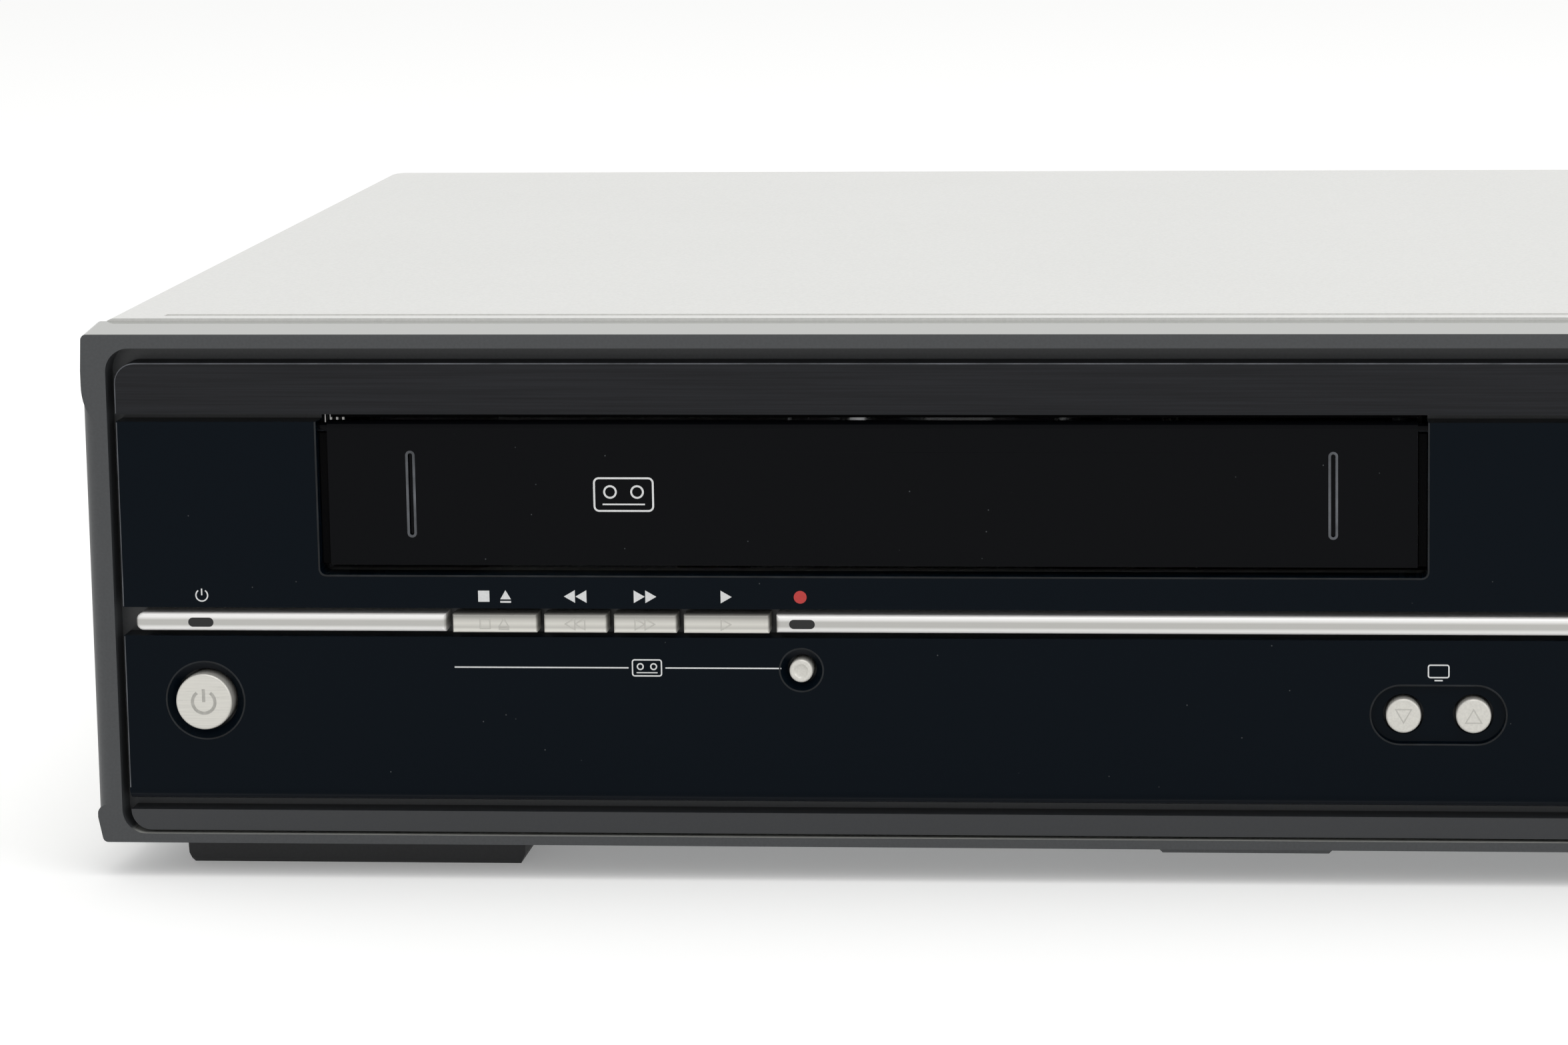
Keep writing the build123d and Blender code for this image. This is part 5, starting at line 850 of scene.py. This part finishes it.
class RECORDER_OT_raised_signs(bpy.types.Operator):
    """Raise the outlines of the signs on the keys and on the round buttons"""

    bl_idname = "recorder.raised_signs"
    bl_label = "Raised signs"

    def execute(self, context):
        sizes = context.scene.recorder_sizes
        lacquer = finish("sign_lacquer")
        for node, signs in (KEY_SIGNS | BUTTON_SIGNS).items():
            centre = middle(node)
            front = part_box(node)[0].y
            size = sizes.mark_height * (BUTTON_SIGN_SCALE if node in BUTTON_SIGNS else KEY_SIGN_SCALE)
            outlines = row_of_signs(signs, centre.x, centre.z, size)
            depths = front - sizes.emboss_height, front + SUNK
            lips = [(lip, points, sizes.emboss_width, *depths) for points in outlines]
            add_piece("sign_on_" + node, lips, lacquer, node, smooth=True)
        low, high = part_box("power_button")
        centre = (low + high) / 2
        radius = (high.x - low.x) * POWER_SIGN_SHARE
        width = sizes.emboss_width * POWER_SIGN_WEIGHT
        sign = (standby_sign, centre.x, centre.z, radius, width, low.y - SOFT_EDGE, low.y + SUNK)
        matt = finish("standby_sign")
        add_piece("sign_on_power_button", [sign], matt, "power_button")
        return {"FINISHED"}


# Polished edges, and painted highlights on the edges of the grooves and panels

DOOR_PIN_REACH = 3.7 * MM
GROOVE_INSET = 14.8 * MM
GROOVE_SIZE = Vector((1.5, 0.0, 15.5)) * MM
GROOVE_DROP = 0.2 * MM
GROOVE_FLANK = 0.5 * MM
SLOT_MARGIN = 1.7 * MM
SLOT_BELOW = 1.6 * MM
SLOT_CORNER = 1.2 * MM
WELL_RADII = {"power_button": 6.9 * MM, "tape_record_button": 3.7 * MM, "disc_record_button": 3.7 * MM}
WELL_STEPS = 48
RECESS_SIZE = Vector((23.6, 0.0, 10.3)) * MM
RECESS_STEPS = 12
EDGE_WIDTH = 0.36 * MM
EDGE_RISE = 0.08 * MM
HIGHLIGHT_WIDTH = 0.22 * MM
HIGHLIGHT_INSET = 0.02 * MM
BLOCK_CORNER = 3.7 * MM
BLOCK_STEPS = 8
ROLL = 2.2 * MM


class RECORDER_OT_polished_edges(bpy.types.Operator):
    """Round the edges of the door's slot and the wells, and paint highlights on those of the grooves and
    panels
    """

    bl_idname = "recorder.polished_edges"
    bl_label = "Polished edges"

    def execute(self, context):
        # The polished edges' lighter grey is partly a painted highlight
        polish = finish("polished_edge")
        # Painted highlight: a pale line along the outer edges of the panels and round the grooves
        worn = finish("worn_edge")
        self.add_panel_edges(worn)
        low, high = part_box("cassette_door")
        left, right = low.x + DOOR_PIN_REACH, high.x - DOOR_PIN_REACH
        z = (low.z + high.z) / 2 - GROOVE_DROP
        wide, tall = GROOVE_SIZE.x - GROOVE_FLANK / 2, GROOVE_SIZE.z - GROOVE_FLANK / 2
        for side, x in (("left", left + GROOVE_INSET), ("right", right - GROOVE_INSET)):
            line = rounded(x, z, wide, tall, wide / 2 - SOFT_EDGE)
            self.add_edge("door_groove_edge_" + side, line, low.y, worn, "door", width=GROOVE_FLANK)
        half = EDGE_WIDTH / 2
        bottom = low.z - SLOT_BELOW - half
        left, right = left - SLOT_MARGIN - half, right + SLOT_MARGIN + half
        line = [
            (left, high.z),
            *corner(left + SLOT_CORNER, bottom + SLOT_CORNER, SLOT_CORNER, quarter=2),
            *corner(right - SLOT_CORNER, bottom + SLOT_CORNER, SLOT_CORNER, quarter=3),
            (right, high.z),
        ]
        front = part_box("upper_fascia")[0].y
        self.add_edge("door_slot_edge", line, front, polish, "root", closed=False)
        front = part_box("lower_fascia")[0].y
        for node, radius in WELL_RADII.items():
            centre = middle(node)
            line = circle(centre.x, centre.z, radius + half, WELL_STEPS)
            self.add_edge("well_edge_" + node, line, front, polish, "root")
        down, up = middle("channel_down_button"), middle("channel_up_button")
        wide, tall = RECESS_SIZE.x + EDGE_WIDTH, RECESS_SIZE.z + EDGE_WIDTH
        line = rounded((down.x + up.x) / 2, down.z, wide, tall, tall / 2 - SOFT_EDGE, RECESS_STEPS)
        self.add_edge("channel_recess_edge", line, front, polish, "root")
        return {"FINISHED"}

    def add_edge(self, name, line, front, material, body, closed=True, width=EDGE_WIDTH):
        """One rounded edge that stands a little off a panel."""
        edge = (lip, line, width, front - EDGE_RISE, front + SUNK, closed)
        add_piece(name, [edge], material, body, smooth=True)

    def add_panel_edges(self, worn):
        """The outer edges of the brow and of the two panels, with painted highlights."""
        half = HIGHLIGHT_WIDTH / 2 + HIGHLIGHT_INSET
        for node in ("brow_panel", "upper_fascia", "lower_fascia"):
            low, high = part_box(node)
            left, right, top, bottom = low.x + half, high.x - half, high.z - half, low.z + half
            if node == "lower_fascia":
                bottom += ROLL
            lines = {"_left": [(left, bottom), (left, top)], "_right": [(right, bottom), (right, top)]}
            if node == "brow_panel":
                inner = BLOCK_CORNER - half
                over = [
                    (right, bottom),
                    *corner(right - inner, top - inner, inner, quarter=0, steps=BLOCK_STEPS),
                    *corner(left + inner, top - inner, inner, quarter=1, steps=BLOCK_STEPS),
                    (left, bottom),
                ]
                lines = {"": over}
            for side, line in lines.items():
                name = "worn_edge_" + node + side
                self.add_edge(name, line, low.y, worn, "root", closed=False, width=HIGHLIGHT_WIDTH)


# Painted shade: dark sheets behind the door's gaps

SHEET_CLEARANCE = 0.15 * MM
SHEET_BELOW_PINS = 2.3 * MM
SHEET_SIDE = Vector((1.5, 2.4, 0.0)) * MM
SHEET_SET_BACK = 1.1 * MM
SHEET_TOP = Vector((0.0, 0.5, 1.0)) * MM
SHEET_TOP_GAP = 0.7 * MM
SHEET_SOFT = 0.1 * MM


class RECORDER_OT_painted_shade_strips(bpy.types.Operator):
    """Set sheets of painted shade behind the gaps round the cassette door, so that no light comes through
    them
    """

    bl_idname = "recorder.felt_strips"
    bl_label = "Felt strips"

    def execute(self, context):
        # Painted shade: near-black sheets that stand in for the shade behind the door's gaps
        felt = finish("felt")
        low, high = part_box("cassette_door")
        left, right = low.x + DOOR_PIN_REACH, high.x - DOOR_PIN_REACH
        height = high.z - SHEET_BELOW_PINS - low.z
        z = low.z + height / 2
        step = SHEET_CLEARANCE + SHEET_SIDE.x / 2
        above = high.z + SHEET_CLEARANCE + SHEET_TOP.z / 2
        front, behind = low.y + SHEET_SET_BACK, high.y + SHEET_TOP_GAP
        for side, place, size, y, depth in (
            ("left", (left - step, z), (SHEET_SIDE.x, height), front, SHEET_SIDE.y),
            ("right", (right + step, z), (SHEET_SIDE.x, height), front, SHEET_SIDE.y),
            ("top", ((left + right) / 2, above), (right - left, SHEET_TOP.z), behind, SHEET_TOP.y),
        ):
            strip = (plate, rectangle(*place, *size), y, y + depth, SHEET_SOFT)
            add_piece("felt_" + side, [strip], felt, "root")
        return {"FINISHED"}


# Display

DIGIT_WIDE = 2.7 * MM
DIGIT_HIGH = 4.6 * MM
DIGIT_STEP = 4.2 * MM
DIGIT_LINE = 0.52 * MM
DIGIT_GAP = 0.12 * MM
DIGIT_SLANT = 0.10
DOT_RISE = 0.2
DOT_RADIUS = 0.55 * DIGIT_LINE
DOT_STEPS = 16
DISPLAY_GLYPHS = "88:88:88"
DISPLAY_TAPE = 4.8 * MM
DISPLAY_DISC = 1.4 * DISPLAY_TAPE
DISPLAY_ARROW = 0.5 * DIGIT_HIGH
DISPLAY_PICTURE_STEP = 9.0 * MM


class RECORDER_OT_display(bpy.types.Operator):
    """Show the unlit segments of the display behind its window"""

    bl_idname = "recorder.display"
    bl_label = "Display"

    def execute(self, context):
        phosphor = finish("phosphor")
        line = context.scene.recorder_sizes.line_width
        centre = middle("display_window")
        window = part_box("display_window")[0].y
        front, back = window - SOFT_EDGE, window + SUNK
        x = centre.x - DIGIT_STEP * (len(DISPLAY_GLYPHS) - 1) / 2
        outlines = []
        for glyph in DISPLAY_GLYPHS:
            outlines += colon_dots(x, centre.z) if glyph == ":" else digit_bars(x, centre.z)
            x += DIGIT_STEP
        digits = [(plate, points, front, back, SOFT_EDGE / 2) for points in outlines]
        add_piece("display_digits", digits, phosphor, "root")
        start = centre.x - DIGIT_STEP * len(DISPLAY_GLYPHS) / 2 - DISPLAY_PICTURE_STEP
        end = 2 * centre.x - start
        signs = [
            (tape_picture, start, centre.z, DISPLAY_TAPE, line, front, back),
            (disc_picture, end, centre.z, DISPLAY_DISC, line, front, back),
        ]
        for x in (start - DISPLAY_PICTURE_STEP, end + DISPLAY_PICTURE_STEP):
            arrow = triangle(x, centre.z, DISPLAY_ARROW, "right")
            signs.append((plate, arrow, front, back, SOFT_EDGE / 2))
        add_piece("display_signs", signs, phosphor, "root")
        return {"FINISHED"}


def pointed_bar(length):
    """The outline of a level bar with pointed ends, round nought."""
    half = DIGIT_LINE / 2
    reach = length / 2 - DIGIT_GAP
    tip = reach - half
    return [(-tip, -half), (tip, -half), (reach, 0.0), (tip, half), (-tip, half), (-reach, 0.0)]


def digit_bars(x, z):
    """The seven bars of one digit, which leans to the right with its height."""
    wide, high = DIGIT_WIDE - DIGIT_LINE, DIGIT_HIGH - DIGIT_LINE
    bars = [[(a, level + b) for a, b in pointed_bar(wide)] for level in (-high / 2, 0.0, high / 2)]
    for side in (-wide / 2, wide / 2):
        for level in (-high / 4, high / 4):
            bars.append([(side - b, level + a) for a, b in pointed_bar(high / 2)])
    return [[(x + a + b * DIGIT_SLANT, z + b) for a, b in bar] for bar in bars]


def colon_dots(x, z):
    """The two dots between pairs of digits."""
    return [circle(x, z + rise * DIGIT_HIGH * DOT_RISE, DOT_RADIUS, DOT_STEPS) for rise in (-1, 1)]


# Sockets

JACK_RADIUS = 4.15 * MM
JACK_BORE = 1.7 * MM
JACK_COLOURS = ("D8B418", "E8E6DF", "B3261F", "1F3E8C")
JACK_PITCH = 14.0 * MM
JACK_SLEEVE = 0.35 * MM
SLEEVE_DEPTH = 4.0 * MM
COLLAR_WIDTH = 1.6 * MM
COLLAR_HEIGHT = 1.1 * MM
COLLAR_SOFT = COLLAR_HEIGHT / 4
PHONO_ROWS = 2
CONTACT_COUNT = 10
CONTACT_SIZE = Vector((1.3, 5.0, 0.5)) * MM
CONTACT_STAGGER = 0.25
CAVITY_WIDTH = 42.0 * MM
CAVITY_HEIGHT = 9.0 * MM
CAVITY_LEVELS = (25.85 * MM, 47.85 * MM)
CAVITY_X = 82.0 * MM
THREAD_TURNS = 6
THREAD_DEPTH = 0.32 * MM
THREAD_SHARE = 0.8
AERIAL_RADIUS = 4.75 * MM
AERIAL_LEVELS = {"aerial_thread_lower": 34.0 * MM, "aerial_thread_upper": 54.0 * MM}


class RECORDER_OT_sockets(bpy.types.Operator):
    """Add the coloured rings, sleeves, threads and contacts of the sockets"""

    bl_idname = "recorder.sockets"
    bl_label = "Sockets"

    def execute(self, context):
        nickel = finish("screw_steel")
        rings = []
        for code in JACK_COLOURS:
            rings.append(make_patterned(linear(code), "Moulded polystyrene " + code, **JACK_PLASTIC))
        self.add_front_rings(rings, nickel)
        self.add_rear_rings(rings, nickel)
        self.add_threads(nickel)
        self.add_contacts(finish("gilt"))
        return {"FINISHED"}

    def add_front_rings(self, rings, nickel):
        """A coloured ring that caps the rim of each jack of the front, and a metal sleeve in it."""
        low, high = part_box("front_sockets")
        z = (low.z + high.z) / 2
        first = low.x + (high.x - low.x - (len(rings) - 1) * JACK_PITCH) / 2
        inner, outer = JACK_BORE + 2 * SUNK, JACK_RADIUS - SUNK
        top = low.y - EDGE_RISE
        side = top + EDGE_RISE / 2
        profile = [
            (inner, low.y + SUNK),
            (outer, low.y + SUNK),
            (outer, side),
            (outer - EDGE_RISE, top),
            (inner + EDGE_RISE, top),
            (inner, side),
        ]
        for i, ring in enumerate(rings):
            x = first + i * JACK_PITCH
            cap = (spin, x, z, profile)
            add_piece("front_jack_ring_%d" % (i + 1), [cap], ring, "root", smooth=True)
            self.add_sleeve("front_jack_sleeve_%d" % (i + 1), x, z, low.y, -1, nickel)

    def add_rear_rings(self, rings, nickel):
        """A coloured collar round each phono socket, by column, and a metal sleeve in it."""
        low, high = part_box("phono_sockets")
        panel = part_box("rear_panel")[1].y
        inner, outer = JACK_RADIUS + SUNK, JACK_RADIUS + COLLAR_WIDTH
        top = panel + COLLAR_HEIGHT
        side = top - COLLAR_SOFT
        profile = [(inner, panel), (outer, panel), (outer, side), (outer - COLLAR_SOFT, top), (inner, top)]
        for row in range(PHONO_ROWS):
            for column, ring in enumerate(rings):
                x = low.x + JACK_PITCH * (column + 0.5)
                z = low.z + JACK_PITCH * (row + 0.5)
                name = "phono_%d_%d" % (row + 1, column + 1)
                add_piece(name + "_ring", [(spin, x, z, profile)], ring, "root", smooth=True)
                self.add_sleeve(name + "_sleeve", x, z, high.y, 1, nickel)

    def add_sleeve(self, name, x, z, mouth, way, material):
        """A thin metal tube that lines the mouth of a socket."""
        inner, outer = JACK_BORE - JACK_SLEEVE, JACK_BORE + SUNK
        foot = mouth - way * SLEEVE_DEPTH
        top = mouth - way * SUNK
        side = top - way * JACK_SLEEVE / 2
        profile = [(inner, foot), (outer, foot), (outer, side), ((inner + outer) / 2, top), (inner, side)]
        add_piece(name, [(spin, x, z, profile)], material, "root", smooth=True)

    def add_threads(self, nickel):
        """Rings of thread on the two aerial sockets."""
        low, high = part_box("aerial_unit")
        reach = (high.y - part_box("rear_panel")[1].y) * THREAD_SHARE
        pitch = reach / THREAD_TURNS
        root, crest = AERIAL_RADIUS - SUNK, AERIAL_RADIUS + THREAD_DEPTH
        for name, z in AERIAL_LEVELS.items():
            rings = []
            for turn in range(THREAD_TURNS):
                start = high.y - reach + turn * pitch
                profile = [(root, start), (crest, start + pitch / 2), (root, start + pitch)]
                rings.append((spin, (low.x + high.x) / 2, z, profile))
            add_piece(name, rings, nickel, "root")

    def add_contacts(self, gilt):
        """Two rows of sprung contacts in each flat video socket."""
        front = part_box("video_sockets")[1].y - CONTACT_SIZE.z
        rise = CAVITY_HEIGHT / 2 - CONTACT_SIZE.z / 2
        reach = CAVITY_WIDTH - 4 * CONTACT_SIZE.x
        for level, z in enumerate(CAVITY_LEVELS):
            contacts = []
            for row in (-1, 1):
                for i in range(CONTACT_COUNT):
                    share = (i + 0.5 + row * CONTACT_STAGGER) / CONTACT_COUNT - 0.5
                    x = CAVITY_X + share * reach
                    points = rectangle(x, z + row * rise, CONTACT_SIZE.x, CONTACT_SIZE.z)
                    contacts.append((plate, points, front, front - CONTACT_SIZE.y, SUNK))
            add_piece("video_contacts_%d" % (level + 1), contacts, gilt, "root")


# Stage

FLOOR_HALF = 6.0
FLOOR_COLOUR = linear("F2F2F1")
FLOOR_GLOW = 0.22
WORLD_COLOUR = (1.0, 1.0, 1.0, 1.0)
WORLD_LIGHT = 0.78
CAMERA_PLACE = Vector((1.766, -882.222, 207.774)) * MM
CAMERA_PAN = -0.06364
CAMERA_TILT = -0.14016
CAMERA_ROLL = -0.00952
CAMERA_LENS = 99.768
CAMERA_SENSOR = 36.0
CAMERA_SHIFT = (-0.165, -0.13)
CAMERA_NEAR = 0.01
LAMP_AIM = Vector((0.0, 0.0, 0.05))
# Where each lamp stands and how wide it is, in metres, and its power in watts
LAMPS = {
    "overhead_softbox": (Vector((0.2, -0.3, 1.8)), 1.6, 11.0),
    "side_softbox": (Vector((1.6, -1.2, 1.0)), 1.0, 4.0),
}


class RECORDER_OT_stage(bpy.types.Operator):
    """Set the floor, the light and the camera"""

    bl_idname = "recorder.stage"
    bl_label = "Stage"

    def execute(self, context):
        scene = context.scene
        scene.view_settings.view_transform = "Standard"
        add_floor()
        add_world(scene)
        add_lamps()
        scene.camera = add_camera()
        return {"FINISHED"}


def seen_directly(tree):
    """One where the camera, a reflection or a clear part sees the surface, and nought elsewhere."""
    path = add_node(tree, "ShaderNodeLightPath")
    seen = path.outputs["Is Camera Ray"]
    for ray in ("Is Glossy Ray", "Is Transmission Ray"):
        links = {0: seen, 1: path.outputs[ray]}
        seen = add_node(tree, "ShaderNodeMath", links=links, operation="MAXIMUM").outputs[0]
    return seen


def add_floor():
    """A pale matt table that keeps the recorder's shadow."""
    mesh = bpy.data.meshes.new("table")
    corners = [(FLOOR_HALF * x, FLOOR_HALF * y, 0.0) for x, y in CORNERS]
    mesh.from_pydata(corners, [], [range(len(corners))])
    floor = bpy.data.objects.new("table", mesh)
    bpy.context.collection.objects.link(floor)
    material = bpy.data.materials.new("Matt white table")
    material.use_nodes = True
    tree = material.node_tree
    tree.nodes.clear()
    paint = add_node(tree, "ShaderNodeBsdfDiffuse", {"Color": (*FLOOR_COLOUR, 1.0)})
    seen = {0: seen_directly(tree)}
    strength = add_node(tree, "ShaderNodeMath", {1: FLOOR_GLOW}, seen, operation="MULTIPLY")
    glow = add_node(tree, "ShaderNodeEmission", links={"Strength": strength.outputs[0]})
    both = add_node(tree, "ShaderNodeAddShader", links={0: paint.outputs[0], 1: glow.outputs[0]})
    add_node(tree, "ShaderNodeOutputMaterial", links={"Surface": both.outputs[0]})
    mesh.materials.append(material)


def add_world(scene):
    """White where it is seen, and a plain soft light where it lights the object."""
    world = bpy.data.worlds.new("Soft studio")
    world.use_nodes = True
    tree = world.node_tree
    tree.nodes.clear()
    strength = spread(tree, seen_directly(tree), low=WORLD_LIGHT, high=1.0)
    light = add_node(tree, "ShaderNodeBackground", {"Color": WORLD_COLOUR}, {"Strength": strength})
    add_node(tree, "ShaderNodeOutputWorld", links={"Surface": light.outputs[0]})
    scene.world = world


def add_lamps():
    """One broad soft lamp above, and a weaker one from the right."""
    for name, (place, size, power) in LAMPS.items():
        data = bpy.data.lights.new(name, "AREA")
        data.size = size
        data.energy = power
        lamp = bpy.data.objects.new(name, data)
        bpy.context.collection.objects.link(lamp)
        lamp.location = place
        lamp.rotation_euler = (LAMP_AIM - place).to_track_quat("-Z", "Y").to_euler()


def add_camera():
    """The camera that took the photograph, fitted to the recorder's corners."""
    data = bpy.data.cameras.new("photo_camera")
    data.sensor_width = CAMERA_SENSOR
    data.lens = CAMERA_LENS
    data.shift_x, data.shift_y = CAMERA_SHIFT
    data.clip_start = CAMERA_NEAR
    camera = bpy.data.objects.new("photo_camera", data)
    bpy.context.collection.objects.link(camera)
    camera.matrix_world = Matrix.Translation(CAMERA_PLACE)
    for angle, axis in ((-CAMERA_PAN, "Z"), (math.pi / 2 + CAMERA_TILT, "X"), (CAMERA_ROLL, "Z")):
        camera.matrix_world @= Matrix.Rotation(angle, 4, axis)
    return camera


class RECORDER_PT_panel(bpy.types.Panel):
    """The recorder's pieces, in the order in which they are made"""

    bl_idname = "RECORDER_PT_panel"
    bl_label = "Recorder"
    bl_space_type = "VIEW_3D"
    bl_region_type = "UI"
    bl_category = "Recorder"

    def draw(self, context):
        for group in (context.scene.recorder_sizes, context.scene.recorder_colours):
            for name in group.__annotations__:
                self.layout.prop(group, name)
        for operator in OPERATORS:
            self.layout.operator(operator.bl_idname)


OPERATORS = (
    RECORDER_OT_stage,
    RECORDER_OT_finishes,
    RECORDER_OT_printed_marks,
    RECORDER_OT_raised_signs,
    RECORDER_OT_polished_edges,
    RECORDER_OT_painted_shade_strips,
    RECORDER_OT_display,
    RECORDER_OT_sockets,
)
CLASSES = (RecorderColours, RecorderSizes, *OPERATORS, RECORDER_PT_panel)


def register():
    for cls in CLASSES:
        bpy.utils.register_class(cls)
    bpy.types.Scene.recorder_colours = PointerProperty(type=RecorderColours)
    bpy.types.Scene.recorder_sizes = PointerProperty(type=RecorderSizes)


def unregister():
    del bpy.types.Scene.recorder_sizes
    del bpy.types.Scene.recorder_colours
    for cls in reversed(CLASSES):
        bpy.utils.unregister_class(cls)


def main():
    register()
    bpy.ops.recorder.stage()
    bpy.ops.recorder.finishes()
    bpy.ops.recorder.printed_marks()
    bpy.ops.recorder.raised_signs()
    bpy.ops.recorder.polished_edges()
    bpy.ops.recorder.felt_strips()
    bpy.ops.recorder.display()
    bpy.ops.recorder.sockets()


if __name__ == "__main__":
    main()
